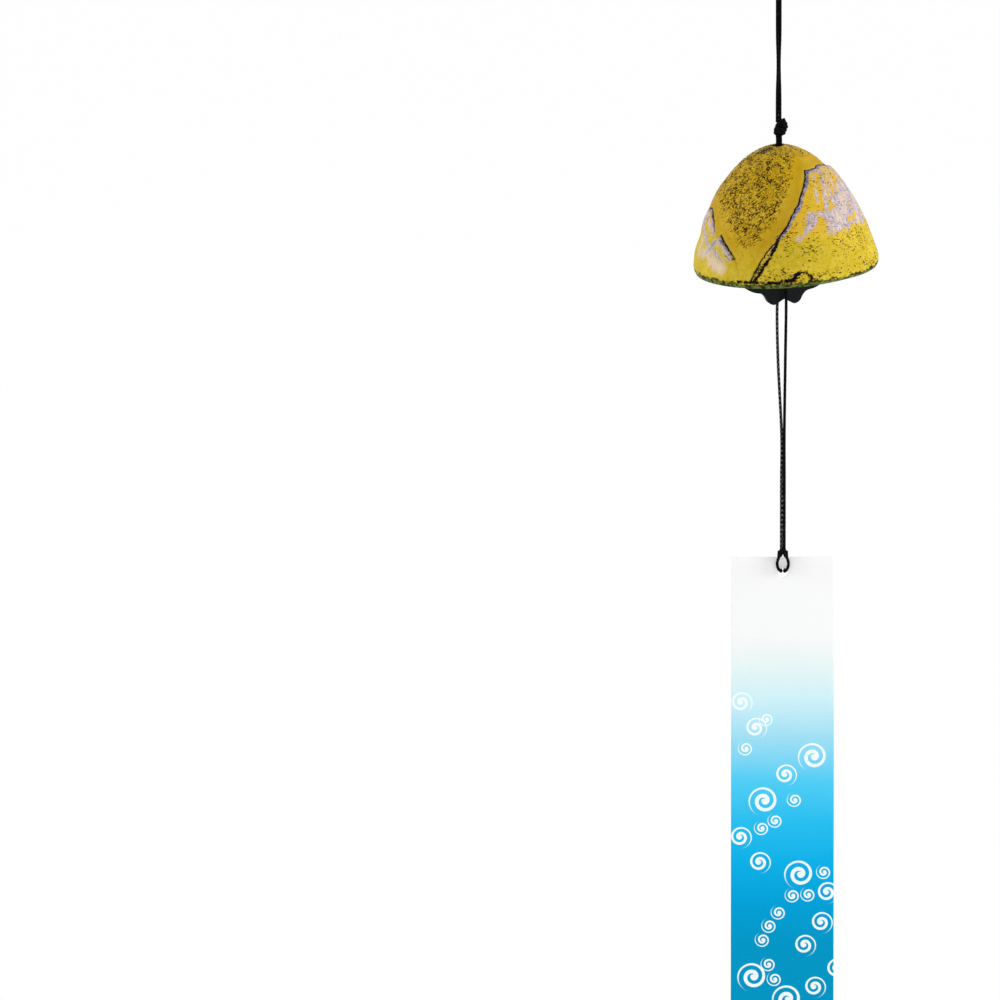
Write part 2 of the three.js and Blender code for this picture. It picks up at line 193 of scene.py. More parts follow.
@contextmanager
def edit_mode(action: str = "SELECT") -> Iterator[None]:
    """Edits the active mesh for a while.

    Args:
        action: What is done to its selection at first.
    """
    bpy.ops.object.mode_set(mode="EDIT")
    bpy.ops.mesh.select_all(action=action)
    yield
    bpy.ops.object.mode_set(mode="OBJECT")


def take_new(name: str) -> bpy.types.Object:
    """Names the primitive that was just added, and its mesh.

    Args:
        name: The new name.

    Returns:
        The primitive.
    """
    piece = bpy.context.active_object
    piece.name = piece.data.name = name
    return piece


def modify(piece: bpy.types.Object, kind: str, **settings: object) -> None:
    """Adds a modifier and applies it.

    Args:
        piece: The object that it changes.
        kind: Blender's name of the modifier.
        **settings: Its properties.
    """
    modifier = piece.modifiers.new(kind.title(), kind)
    for key, value in settings.items():
        setattr(modifier, key, value)
    pick(piece)
    bpy.ops.object.modifier_apply(modifier=modifier.name)


def points_of(piece: bpy.types.Object) -> np.ndarray:
    """Reads the places of a mesh's points.

    Args:
        piece: The object.

    Returns:
        The places, in the mesh's own units.
    """
    found = np.zeros(len(piece.data.vertices) * 3)
    piece.data.vertices.foreach_get("co", found)
    return found.reshape(-1, 3)


def move_points(piece: bpy.types.Object, places: np.ndarray) -> None:
    """Puts a mesh's points at new places."""
    piece.data.vertices.foreach_set("co", places.astype(np.float32).ravel())
    piece.data.update()


def put_attribute(piece: bpy.types.Object, name: str, values: np.ndarray) -> None:
    """Stores one number at each point of a mesh, for its material to read."""
    attribute = piece.data.attributes.new(name, "FLOAT", "POINT")
    attribute.data.foreach_set("value", values.astype(np.float32))


def shade(piece: bpy.types.Object, degrees: float = 180.0) -> None:
    """Shades a piece smoothly, except at sharp edges.

    Args:
        piece: The piece.
        degrees: The angle from which an edge counts as sharp; 180 is no edge.
    """
    pick(piece)
    if degrees >= 180:
        bpy.ops.object.shade_smooth()
    else:
        bpy.ops.object.shade_smooth_by_angle(angle=math.radians(degrees))


def settle(piece: bpy.types.Object, *moves: Matrix) -> None:
    """Turns and places a piece modelled in millimetres, and leaves its object at the origin.

    Args:
        piece: The piece.
        *moves: Where it goes, in millimetres; the last one is done first.
    """
    pick(piece)
    whole = Matrix.Scale(MM, 4)
    for move in moves:
        whole = whole @ move
    piece.matrix_world = whole @ piece.matrix_world
    bpy.ops.object.transform_apply(location=True, rotation=True, scale=True)


def dress(
    piece: bpy.types.Object, material: bpy.types.Material, body: Optional[str], nodes: Sequence[str]
) -> None:
    """Gives a finished piece its material and body, and hides the solids that it stands for.

    Args:
        piece: The finished piece.
        material: Its material, in place of any it had.
        body: The body that it rides on, or None where it bends between two.
        nodes: The solids that it replaces.
    """
    piece.data.materials.clear()
    piece.data.materials.append(material)
    if body:
        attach(piece, body)
    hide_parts(*nodes)
    LOG.info("%s: %d faces, stands for %s", piece.name, len(piece.data.polygons), ", ".join(nodes))


# Sizes that several pieces share


@dataclass(frozen=True)
class Layout:
    """The part's driving sizes and the heights that follow from them, in millimetres."""

    bell_radius: float = 37.4
    bell_height: float = 51.4
    height_power: float = 1.652
    radius_power: float = 1.791
    wall: float = 2.6
    crown_wall: float = 3.6
    crown_hole: float = 2.2
    tilt: float = math.radians(3.43)
    cord: float = 0.62
    pair: float = 0.6
    clearance: float = 0.3
    hanger_drop: float = 78.0
    top_knot_radius: float = 3.1
    top_knot_above_crown: float = 7.4
    inner_knot: float = 3.2
    clapper_offset: float = 2.0
    clapper_yaw: float = math.radians(20)
    clapper_hole_above_rim: float = 4.0
    clapper_thickness: float = 3.0
    tie_knot_radius: float = 2.6
    tie_knot_depth: float = 2.2
    lobe_drop: float = 19.8
    strip_offset: float = 2.0
    strip_below_rim: float = 121.8
    hitch_height: float = 3.6
    card: float = 0.5
    strip_hole: float = 2.0
    strip_hole_drop: float = 6.7

    @property
    def pivot_above_rim(self) -> float:
        """Works out how high above the rim the knot that carries the bell sits.

        Returns:
            The height of the knot's centre.
        """
        inside = self.bell_radius - self.wall
        share = (1 - (self.crown_hole / inside) ** self.radius_power) ** (1 / self.height_power)
        seat = (self.bell_height - self.crown_wall) * share
        return seat - math.sqrt((self.inner_knot + self.clearance) ** 2 - self.crown_hole**2)

    @property
    def pivot(self) -> float:
        """Height of the inner knot's centre."""
        return -self.hanger_drop - (self.bell_height - self.pivot_above_rim) * math.cos(self.tilt)

    @property
    def rim(self) -> float:
        """Height of the rim's centre."""
        return self.pivot - self.pivot_above_rim * math.cos(self.tilt)

    @property
    def top_knot(self) -> float:
        """Height of the top knot's centre."""
        return -self.hanger_drop + self.top_knot_above_crown

    @property
    def clapper_hole(self) -> float:
        """Height of the clapper's hole."""
        return self.rim + self.clapper_hole_above_rim

    @property
    def strip_top(self) -> float:
        """Height of the strip's top edge."""
        return self.rim - self.strip_below_rim

    @property
    def strand_off_face(self) -> float:
        """Distance of the strands from the clapper's middle plane."""
        return self.clapper_thickness / 2 + self.clearance + self.tie_knot_depth / 2

    def off_plate(self, along: float, off: float, up: float) -> Place:
        """A place by the clapper.

        Args:
            along: Distance along the plate from its hole.
            off: Distance off its middle plane.
            up: Height above its hole.

        Returns:
            The place in the part's frame.
        """
        cosine, sine = math.cos(self.clapper_yaw), math.sin(self.clapper_yaw)
        return (
            self.clapper_offset + along * cosine - off * sine,
            along * sine + off * cosine,
            self.clapper_hole + up,
        )


LAYOUT = Layout()


# Shader nodes


class Signal:
    """A value in a node sheet. Arithmetic on it adds Math nodes."""

    def __init__(self, sheet: "NodeSheet", socket: Socket) -> None:
        """Takes up a socket.

        Args:
            sheet: The sheet that it is on.
            socket: The socket that gives the value.
        """
        self.sheet, self.socket = sheet, socket

    def __add__(self, other: Value) -> "Signal":
        """The sum."""
        return self.sheet.math("ADD", self, other)

    def __sub__(self, other: Value) -> "Signal":
        """The difference."""
        return self.sheet.math("SUBTRACT", self, other)

    def __rsub__(self, other: float) -> "Signal":
        """The difference from a plain number."""
        return self.sheet.math("SUBTRACT", other, self)

    def __mul__(self, other: Value) -> "Signal":
        """The product."""
        return self.sheet.math("MULTIPLY", self, other)

    def __truediv__(self, other: Value) -> "Signal":
        """The quotient."""
        return self.sheet.math("DIVIDE", self, other)

    def __abs__(self) -> "Signal":
        """The value without its sign."""
        return self.sheet.math("ABSOLUTE", self)

    def ease(self, low: Value, high: Value, start: float = 0.0, end: float = 1.0) -> "Signal":
        """Eases the value from one number to another.

        Args:
            low: Where the result is start.
            high: Where the result is end.
            start: The result at low.
            end: The result at high.

        Returns:
            The eased value.
        """
        feeds = dict(enumerate((self, low, high, start, end)))
        made = self.sheet.node("MapRange", feeds, interpolation_type="SMOOTHSTEP")
        return Signal(self.sheet, made.outputs[0])


class NodeSheet:
    """Adds and joins nodes in one material or node group."""

    def __init__(self, tree: bpy.types.NodeTree) -> None:
        """Starts on a tree.

        Args:
            tree: The tree that the nodes go into.
        """
        self.tree = tree
        self.count = 0

    def node(
        self, kind: str, feeds: Optional[dict[Union[int, str], Value]] = None, **settings: object
    ) -> bpy.types.Node:
        """Adds a node with its settings and its inputs.

        Args:
            kind: The node's type, without the word Shader before it.
            feeds: What goes into its inputs, by number or name.
            **settings: Its properties.

        Returns:
            The node.
        """
        made = self.tree.nodes.new(kind if kind.startswith("NodeGroup") else "ShaderNode" + kind)
        made.location = (180 * (self.count % 14), -220 * (self.count // 14))
        self.count += 1
        for key, value in settings.items():
            setattr(made, key, value)
        for key, value in (feeds or {}).items():
            self.feed(made.inputs[key], value)
        return made

    def feed(self, target: Socket, value: Value) -> None:
        """Joins a socket to another, or sets it.

        Args:
            target: The input socket.
            value: A signal, a socket, a number, a vector, or a paint colour's six digits.
        """
        value = value.socket if isinstance(value, Signal) else value
        if isinstance(value, bpy.types.NodeSocket):
            self.tree.links.new(value, target)
        else:
            target.default_value = linear(value) if isinstance(value, str) else value

    def math(self, operation: str, *values: Value, clamp: bool = False) -> Signal:
        """Works out a number from one to three others."""
        made = self.node("Math", dict(enumerate(values)), operation=operation, use_clamp=clamp)
        return Signal(self, made.outputs[0])

    def vector(self, operation: str, *values: Value) -> Signal:
        """Works out a vector from one to three others."""
        return Signal(self, self.node("VectorMath", dict(enumerate(values)), operation=operation).outputs[0])

    def parts(self, vector: Value) -> list[Signal]:
        """Splits a vector into its three numbers."""
        return [Signal(self, part) for part in self.node("SeparateXYZ", {0: vector}).outputs]

    def mix(self, share: Value, first: Value, second: Value, blend: str = "MIX") -> Signal:
        """Mixes two colours.

        Args:
            share: How much of the second shows.
            first: The colour below.
            second: The colour above.
            blend: Blender's name of the way they mix.

        Returns:
            The mixed colour.
        """
        made = self.node("Mix", data_type="RGBA", blend_type=blend)
        for name, value in (("Factor_Float", share), ("A_Color", first), ("B_Color", second)):
            self.feed(next(s for s in made.inputs if s.identifier == name), value)
        return Signal(self, next(s for s in made.outputs if s.identifier == "Result_Color"))

    def attribute(self, name: str) -> Signal:
        """Reads the number that a mesh stores at its points."""
        return Signal(self, self.node("Attribute", attribute_name=name).outputs["Fac"])

    def noise(self, place: Value, scale: Value, detail: float, roughness: float) -> Signal:
        """Soft cloudy noise about 0.5."""
        feeds = {"Vector": place, "Scale": scale, "Detail": detail, "Roughness": roughness}
        return Signal(self, self.node("TexNoise", feeds).outputs["Fac"])


@dataclass
class Workshop:
    """Builds each shared node group once, when a material first asks for it."""

    made: dict[Effects, bpy.types.NodeTree] = field(default_factory=dict)

    def get(self, effect: Effects) -> bpy.types.NodeTree:
        """Finds or builds the node group of an effect.

        Args:
            effect: Which one.

        Returns:
            The node group.
        """
        build = {
            Effects.MARKS: self._marks, Effects.SKIN: self._skin,
            Effects.MOTTLE: self._mottle, Effects.WHIRL: self._whirl,
        }
        if effect not in self.made:
            self.made[effect] = build[effect]()
        return self.made[effect]

    def _open(self, effect: Effects, **inputs: Value) -> tuple:
        """Starts a group with its named inputs.

        Args:
            effect: Which group it is.
            **inputs: Each input's usual value; three numbers make it a vector.

        Returns:
            The sheet to build on, and then a signal for each input.
        """
        tree = bpy.data.node_groups.new(effect.value, "ShaderNodeTree")
        for name, value in inputs.items():
            kind = "NodeSocketVector" if isinstance(value, tuple) else "NodeSocketFloat"
            tree.interface.new_socket(name=name, in_out="INPUT", socket_type=kind).default_value = value
        sheet = NodeSheet(tree)
        given = sheet.node("NodeGroupInput").outputs
        return (sheet, *[Signal(sheet, given[name]) for name in inputs])

    def _close(self, sheet: NodeSheet, **outputs: Value) -> bpy.types.NodeTree:
        """Finishes a group with its named outputs, which are all numbers.

        Args:
            sheet: The group's sheet.
            **outputs: What each output gives.

        Returns:
            The node group.
        """
        for name in outputs:
            sheet.tree.interface.new_socket(name=name, in_out="OUTPUT", socket_type="NodeSocketFloat")
        sheet.node("NodeGroupOutput", outputs)
        return sheet.tree

    def _marks(self) -> bpy.types.NodeTree:
        """Draws short dark marks, as a nearly dry brush leaves on rough iron, and painted highlights beside them.
        They can lean.

        Returns:
            The node group.
        """
        sheet, place, scale, density, lean, stretch = self._open(
            Effects.MARKS, Place=ORIGIN, Scale=900.0, Density=0.5, Lean=0.0, Stretch=1.0
        )
        angle = sheet.parts(place)[2] * (lean * -1.0)
        turned = sheet.node("VectorRotate", {"Vector": place, "Angle": angle}, rotation_type="Z_AXIS")
        shape = sheet.node("CombineXYZ", {"X": 1.0, "Y": 1.0, "Z": stretch})
        drawn = sheet.vector("MULTIPLY", turned.outputs[0], shape.outputs[0])
        crowd = density * sheet.noise(place, scale * 0.2, 2.0, 0.55).ease(0.36, 0.62, 0.13, 0.25)
        blot = sheet.noise(drawn, scale, 1.7, 0.55)
        blot_limit, cut_limit = 0.775 - crowd, 0.69 - crowd
        blots = blot.ease(blot_limit, blot_limit + 0.022)
        vein = abs(sheet.noise(drawn, scale * 0.55, 2.0, 0.55) - 0.5)
        cut = sheet.noise(drawn, scale * 0.9, 2.0, 0.6).ease(cut_limit, cut_limit + 0.06)
        mask = sheet.math("MAXIMUM", blots, vein.ease(0.045, 0.028) * cut)
        # Painted highlight: pale flecks beside the marks, where light would catch the relief
        gleam = sheet.math("MULTIPLY", blot.ease(0.44, 0.36), density, clamp=True)
        return self._close(sheet, Mask=mask, Gleam=gleam)

    def _skin(self) -> bpy.types.NodeTree:
        """Makes the fine grain and the pits of sand-cast iron.

        Returns:
            The node group.
        """
        sheet, place, scale, pitting = self._open(Effects.SKIN, Place=ORIGIN, Scale=700.0, Pitting=0.5)
        grain, swell = sheet.noise(place, scale, 5.0, 0.65), sheet.noise(place, scale * 0.3, 2.0, 0.5)
        cells = sheet.node("TexVoronoi", {"Vector": place, "Scale": scale * 0.7}, feature="SMOOTH_F1")
        pits = Signal(sheet, cells.outputs["Distance"]).ease(0.28, 0.08) * pitting
        return self._close(sheet, Height=grain * 0.6 + swell * 0.7 - pits * 0.5)

    def _mottle(self) -> bpy.types.NodeTree:
        """Makes broad uneven patches, as of paint dabbed on by hand, from 0 to 1.

        Returns:
            The node group.
        """
        sheet, place, scale, contrast = self._open(Effects.MOTTLE, Place=ORIGIN, Scale=90.0, Contrast=0.3)
        broad = sheet.noise(place, scale, 4.0, 0.6)
        return self._close(sheet, Patch=broad.ease(0.5 - contrast, contrast + 0.5))

    def _whirl(self) -> bpy.types.NodeTree:
        """Draws a printed whirl, thick at its heart, that thins as it opens.

        Returns:
            The node group.
        """
        sheet, place, centre, radius, start, hand = self._open(
            Effects.WHIRL, Place=ORIGIN, Centre=ORIGIN, Radius=0.003, Start=0.0, Hand=1.0
        )
        turns = 2.08
        across, _, up = sheet.parts(sheet.vector("SUBTRACT", place, centre))
        squares = sheet.math("POWER", across, 2.0) + sheet.math("POWER", up, 2.0)
        share = sheet.math("SQRT", squares) / radius
        turn = sheet.math("ARCTAN2", up, across) / (2 * math.pi)
        phase = share * turns - (turn * hand + start)
        middle = abs(sheet.math("FRACT", phase) - 0.5)
        width = share.ease(0.4, 1.0, 0.26, 0.1)
        arm = middle.ease(width + 0.03, width - 0.03)
        drawn = sheet.math("MAXIMUM", arm, share.ease(0.19, 0.13))
        return self._close(sheet, Mask=sheet.math("MULTIPLY", drawn, share.ease(1.0, 0.94), clamp=True))


WORKSHOP = Workshop()


# Finishes


class Finish(NodeSheet):
    """A material under construction, with its Principled shader and the place on the piece."""

    def __init__(self, name: str) -> None:
        """Starts a material.

        Args:
            name: The material's name.
        """
        self.material = bpy.data.materials.new(name)
        self.material.use_nodes = True
        self.material.node_tree.nodes.clear()
        super().__init__(self.material.node_tree)
        self.shader = self.node("BsdfPrincipled")
        self.output = self.node("OutputMaterial", {"Surface": self.shader.outputs[0]})
        self.place = self.node("TexCoord").outputs["Object"]

    def set(self, **values: Value) -> None:
        """Sets or feeds the shader's sockets by name, with _ for a space."""
        for name, value in values.items():
            self.feed(self.shader.inputs[name.replace("_", " ")], value)

    def cloud(self, scale: float, detail: float, roughness: float) -> Signal:
        """Soft cloudy noise about 0.5, on the piece itself."""
        return self.noise(self.place, scale, detail, roughness)

    def effect(self, effect: Effects, **inputs: Value) -> dict[str, Signal]:
        """Puts a shared effect on the piece.

        Args:
            effect: Which one.
            **inputs: What goes into it, besides the place.

        Returns:
            What comes out of it, by name.
        """
        made = self.node("Group", {"Place": self.place, **inputs}, node_tree=WORKSHOP.get(effect))
        return {out.name: Signal(self, out) for out in made.outputs}

    def bump(self, height: Value, depth: float, strength: float) -> None:
        """Gives the surface a bump.

        Args:
            height: The height, about 0 to 1.
            depth: What a height of 1 is, in metres.
            strength: Share of the bump that shows.
        """
        made = self.node("Bump", {"Height": height, "Distance": depth, "Strength": strength})
        self.set(Normal=made.outputs[0])


@dataclass(frozen=True)
class Grain:
    """The uneven patterns that the coats of the bell's paint share: two sizes of patch, two of noise about 0."""

    patch: Signal
    fine: Signal
    wobble: Signal
    ragged: Signal


@dataclass(frozen=True)
class BellPaint:
    """Matt lacquer dabbed and dry-brushed over the cast bell: ochre sky, yellow slopes and pale snow, with painted
    highlights beside the sky's marks and painted shade in the dips beside the ridges.
    """

    sky: str = "ba940d"
    sky_pale: str = "c8a634"
    sky_deep: str = "8c6c0c"
    # Colour of the painted highlight beside the sky's marks
    gleam: str = "dcbb38"
    slope: str = "bea41c"
    slope_pale: str = "d9c04c"
    slope_deep: str = "a08b16"
    slope_warm: str = "cc9e28"
    wash: str = "d2bdae"
    snow: str = "cdb8a6"
    snow_lilac: str = "a89fb4"
    snow_white: str = "d8cac4"
    snow_blue: str = "6a6ea4"
    band: str = "a3a2c0"
    band_deep: str = "50568f"
    groove: str = "140b08"
    mark: str = "1c0d04"
    rim: str = "6e7e38"
    rim_dark: str = "12160b"
    chip: str = "3f3536"

    def material(self) -> bpy.types.Material:
        """Makes the material, which reads the masks that the bell's mesh stores.

        Returns:
            The material.
        """
        made = Finish("Bell paint")
        grain = Grain(
            made.effect(Effects.MOTTLE, Scale=85.0, Contrast=0.2)["Patch"],
            made.effect(Effects.MOTTLE, Scale=520.0, Contrast=0.16)["Patch"],
            made.cloud(620.0, 3.0, 0.65) - 0.5,
            made.cloud(300.0, 5.0, 0.72) - 0.5,
        )
        colour, snow = self._snow(made, grain, self._ground(made, grain))
        colour, marks = self._marks(made, snow, colour)
        colour, line = self._lines(made, grain, colour)
        colour = self._rim(made, grain, colour)
        skin = made.effect(Effects.SKIN, Scale=900.0, Pitting=0.5)["Height"]
        lift = skin * made.attribute("rough").ease(0.0, 1.0, 0.3, 1.0)
        made.bump(lift - made.math("MAXIMUM", marks, line) * 0.45, 0.00025, 0.8)
        made.set(Base_Color=colour, Roughness=grain.fine.ease(0.0, 1.0, 0.44, 0.58))
        made.set(Specular_IOR_Level=0.03, Sheen_Weight=0.03, Sheen_Roughness=0.4, Sheen_Tint=(1.0, 0.95, 0.8, 1.0))
        return made.material

    def _ground(self, made: Finish, grain: Grain) -> Signal:
        """Dabs the sky and the slopes, and paints shade into the dip beside each ridge.

        Args:
            made: The material under construction.
            grain: Its uneven patterns.

        Returns:
            The colour.
        """
        height = made.attribute("height")
        sky = made.mix(grain.patch * 0.7, self.sky, self.sky_pale)
        sky = made.mix(grain.fine * made.attribute("rough") * 0.5, sky, self.sky_deep)
        # Painted shade: the sky is darkened in the dip beside each ridge
        sky = made.mix(made.attribute("dip") * 0.3, sky, self.sky_deep)
        slope = made.mix(grain.fine * 0.55, self.slope, self.slope_pale)
        slope = made.mix(grain.patch * 0.35, slope, self.slope_deep)
        slope = made.mix(height.ease(14.0, 25.0, 0.0, 0.6), slope, self.slope_warm)
        below = made.math("MAXIMUM", made.attribute("mountain"), height.ease(20.0, 6.0))
        brushed = made.noise(made.vector("MULTIPLY", made.place, (1.0, 1.0, 0.5)), 420.0, 4.0, 0.65)
        wash = made.attribute("wash") + grain.ragged * 5.0 - brushed.ease(0.50, 0.64, 0.0, 2.0)
        return made.mix(wash.ease(-1.5, 2.2, 0.0, 0.75), made.mix(below, sky, slope), self.wash)

    def _snow(self, made: Finish, grain: Grain, colour: Signal) -> tuple[Signal, Signal]:
        """Brushes the snow and the blue band along the ridges.

        Args:
            made: The material under construction.
            grain: Its uneven patterns.
            colour: What they go over.

        Returns:
            The colour, and where the snow is.
        """
        brushed = made.vector("MULTIPLY", made.place, (1.0, 1.0, 0.4))
        streak = made.noise(brushed, 620.0, 4.0, 0.65)
        edge = made.attribute("snow") + grain.ragged * 2.6 + grain.wobble * 2.0
        edge = edge - streak.ease(0.51, 0.63, 0.0, 1.7)
        snow = edge.ease(-1.0, 0.7)
        tint = made.noise(brushed, 260.0, 4.0, 0.62)
        pale = made.mix(tint.ease(0.38, 0.62), self.snow, self.snow_lilac)
        pale = made.mix(streak.ease(0.50, 0.36, 0.0, 0.6), pale, self.snow_white)
        flecks = made.cloud(1300.0, 2.5, 0.6).ease(0.49, 0.58)
        patches = made.cloud(190.0, 3.0, 0.6).ease(0.44, 0.58, 0.2, 0.9)
        border = made.math("MAXIMUM", patches, edge.ease(1.3, 0.1, 0.0, 0.8))
        pale = made.mix(flecks * border, pale, self.snow_blue)
        colour = made.mix(snow * 0.9, colour, pale)
        near = made.attribute("ridge") + grain.wobble * 0.7 + grain.ragged * 1.2
        near = near + made.cloud(130.0, 4.0, 0.65).ease(0.42, 0.62, 0.0, 0.9)
        band = near.ease(0.1, 0.5) * near.ease(1.9, 1.0) * made.attribute("halo")
        blue = made.mix(made.cloud(800.0, 2.5, 0.6).ease(0.38, 0.56), self.band, self.band_deep)
        return made.mix(band * 0.95, colour, blue), snow

    def _marks(self, made: Finish, snow: Signal, colour: Signal) -> tuple[Signal, Signal]:
        """Leaves dry-brush marks: leaning ones on the sky, and nearly level dashes on the slopes; paints highlights
        beside the sky's marks.

        Args:
            made: The material under construction.
            snow: Where the snow is.
            colour: What they go over.

        Returns:
            The colour, and where the marks are.
        """
        speckle, inside = made.attribute("speckle"), made.attribute("mountain")
        sky = made.effect(Effects.MARKS, Scale=1550.0, Density=speckle, Lean=24.0, Stretch=0.6)
        slope = made.effect(Effects.MARKS, Scale=760.0, Density=speckle, Lean=-4.0, Stretch=2.5)
        outside, bare = 1.0 - inside, 1.0 - snow * 0.45
        marks = made.math("MAXIMUM", sky["Mask"] * outside, slope["Mask"] * inside * bare)
        # Painted highlight: the sky is lightened beside its marks
        colour = made.mix(sky["Gleam"] * outside * 0.5, colour, self.gleam)
        return made.mix(marks * 0.93, colour, self.mark), marks

    def _lines(self, made: Finish, grain: Grain, colour: Signal) -> tuple[Signal, Signal]:
        """Darkens the ridge grooves and the cracks.

        Args:
            made: The material under construction.
            grain: Its uneven patterns.
            colour: What they go over.

        Returns:
            The colour, and where the lines are.
        """
        wander = abs(made.attribute("ridge") + grain.wobble * 1.5)
        near = made.attribute("crack") + grain.wobble * 2.4
        cracks = near.ease(0.85, 0.45) * made.cloud(420.0, 3.0, 0.65).ease(0.33, 0.43)
        line = made.math("MAXIMUM", wander.ease(0.5, 0.2) * made.attribute("groove"), cracks, clamp=True)
        return made.mix(line, colour, self.groove), line

    def _rim(self, made: Finish, grain: Grain, colour: Signal) -> Signal:
        """Paints the green rim, the broken black seam above it and the chipped crown.

        Args:
            made: The material under construction.
            grain: Its uneven patterns.
            colour: What they go over.

        Returns:
            The colour.
        """
        rise = made.attribute("above_rim") + grain.wobble * 2.4
        green = made.mix(grain.fine * 0.95, self.rim, self.rim_dark)
        colour = made.mix(rise.ease(0.25, -0.25), colour, green)
        broken = made.cloud(240.0, 4.0, 0.7).ease(0.46, 0.55)
        seam = rise.ease(1.0, 0.6) * rise.ease(-0.5, -0.1) * broken
        colour = made.mix(seam * 0.92, colour, self.groove)
        chips = made.attribute("height").ease(47.5, 51.0) * made.cloud(460.0, 4.0, 0.7).ease(0.55, 0.6)
        return made.mix(chips, colour, self.chip)


@dataclass(frozen=True)
class Iron:
    """Black-lacquered cast iron, as on the clapper and inside the bell; the clapper's colours are also darkened as
    painted shade.
    """

    name: str
    body: str
    worn: str
    roughness: float
    grain: float

    def material(self) -> bpy.types.Material:
        """Makes the material.

        Returns:
            The material.
        """
        made = Finish(self.name)
        skin = made.effect(Effects.SKIN, Scale=self.grain, Pitting=0.8)["Height"]
        patch = made.effect(Effects.MOTTLE, Scale=160.0, Contrast=0.2)["Patch"]
        colour = made.mix(patch * 0.3, self.body, self.worn)
        colour = made.mix(skin.ease(0.72, 0.9) * patch, colour, self.worn)
        made.set(Base_Color=colour, Roughness=patch.ease(0.0, 1.0, self.roughness, self.roughness + 0.15))
        made.set(Specular_IOR_Level=0.12)
        made.bump(skin, 0.00018, 0.9)
        return made.material


@dataclass(frozen=True)
class WaxedCord:
    """Black waxed braid, with glints painted pale on its crossings as highlights."""

    name: str
    painted_glint: str
    painted_glint_share: float
    black: str = "040405"
    yarns: float = 9.0

    def material(self) -> bpy.types.Material:
        """Makes the material, which reads the braid's lumps and the cord's own UV map.

        Returns:
            The material.
        """
        made = Finish(self.name)
        fibre = made.node("Mapping", {
            "Vector": made.node("UVMap", uv_map="Along").outputs[0],
            "Scale": (self.yarns, 1.3, 1.0),
            "Rotation": (0.0, 0.0, math.radians(28)),
        })
        yarn = made.noise(fibre.outputs[0], 2.4, 3.0, 0.6)
        # Painted highlight: the tops of the crossings are painted pale as glints
        painted_glint_mask = made.attribute("lump").ease(0.62, 0.93) * yarn.ease(0.3, 0.65, 0.45, 1.0)
        colour = made.mix(painted_glint_mask * self.painted_glint_share, self.black, self.painted_glint)
        made.set(Base_Color=colour, Roughness=painted_glint_mask.ease(0.0, 1.0, 0.8, 0.5), Specular_IOR_Level=0.06)
        made.bump(yarn, 0.00006, 0.8)
        return made.material


@dataclass(frozen=True)
class PrintedCard:
    """Paper strip printed from white to deep blue, with a stream of white whirls."""

    tones: Sequence[tuple[float, str]] = (
        (0, "f7f7f7"), (34, "f6f7f7"), (43, "eaf5f4"), (60, "cdeff6"), (77, "9adcf2"),
        (94, "50ccf3"), (111, "28bdee"), (128, "0aafe6"), (145, "009fd6"), (162, "0095c4"), (215, "0090ba"),
    )
    ink: str = "f4fdff"
    whirls: Sequence[tuple[float, float, Whorl]] = (
        (-16.9, 61.2, Whorl.MIDDLE), (-11.0, 71.9, Whorl.MIDDLE), (-6.6, 68.3, Whorl.SMALL),
        (-15.0, 80.6, Whorl.SMALL), (12.6, 84.1, Whorl.LARGE), (1.2, 91.6, Whorl.MIDDLE),
        (-7.5, 102.7, Whorl.LARGE), (5.0, 102.3, Whorl.SMALL), (-2.9, 111.1, Whorl.SMALL),
        (-8.4, 114.2, Whorl.SMALL), (-17.2, 118.0, Whorl.MIDDLE), (-9.4, 128.6, Whorl.MIDDLE),
        (7.1, 133.7, Whorl.LARGE), (17.0, 132.8, Whorl.SMALL), (18.3, 141.3, Whorl.MIDDLE),
        (4.2, 142.7, Whorl.SMALL), (10.6, 142.3, Whorl.SMALL), (-1.5, 149.9, Whorl.SMALL),
        (-5.3, 155.5, Whorl.SMALL), (15.9, 153.9, Whorl.MIDDLE), (-8.0, 161.4, Whorl.SMALL),
        (9.1, 163.5, Whorl.MIDDLE), (-5.6, 171.7, Whorl.SMALL), (-12.0, 177.0, Whorl.LARGE),
        (-3.1, 178.0, Whorl.SMALL), (13.2, 181.2, Whorl.MIDDLE), (2.2, 186.4, Whorl.LARGE),
        (22.2, 173.5, Whorl.MIDDLE), (-9.6, 190.4, Whorl.SMALL), (12.4, 193.0, Whorl.SMALL),
        (-16.4, 196.6, Whorl.MIDDLE), (-3.6, 200.4, Whorl.MIDDLE), (14.6, 204.2, Whorl.LARGE),
        (4.4, 209.6, Whorl.SMALL), (-11.8, 208.8, Whorl.SMALL),
    )

    def material(self) -> bpy.types.Material:
        """Makes the material, whose print follows the depth below the strip's top edge.

        Returns:
            The material.
        """
        made = Finish("Printed card")
        top, length = LAYOUT.strip_top * MM, self.tones[-1][0]
        drop = (top - made.parts(made.place)[2]) / (length * MM)
        ramp = made.node("ValToRGB", {0: drop + (made.cloud(60.0, 3.0, 0.6) - 0.5) * 0.02})
        stops = ramp.color_ramp.elements
        for index, (depth, tone) in enumerate(self.tones):
            stop = stops[index] if index < 2 else stops.new(depth / length)
            stop.position, stop.color = depth / length, linear(tone)
        printed: Value = 0.0
        for across, depth, whorl in self.whirls:
            radius, start, hand = whorl.value
            centre = ((LAYOUT.strip_offset + across) * MM, 0.0, top - depth * MM)
            whirl = made.effect(Effects.WHIRL, Centre=centre, Radius=radius * MM, Start=start, Hand=hand)
            printed = made.math("MAXIMUM", whirl["Mask"], printed)
        fibre = made.cloud(2600.0, 4.0, 0.7)
        colour = made.mix(printed * 0.94, ramp.outputs[0], self.ink)
        tooth = made.mix(1.0, colour, fibre.ease(0.3, 0.7, 0.97, 1.0), "MULTIPLY")
        made.set(Base_Color=tooth, Roughness=0.75, Specular_IOR_Level=0.03)
        made.bump(fibre, 0.00003, 0.6)
        return made.material


# Cords and knots


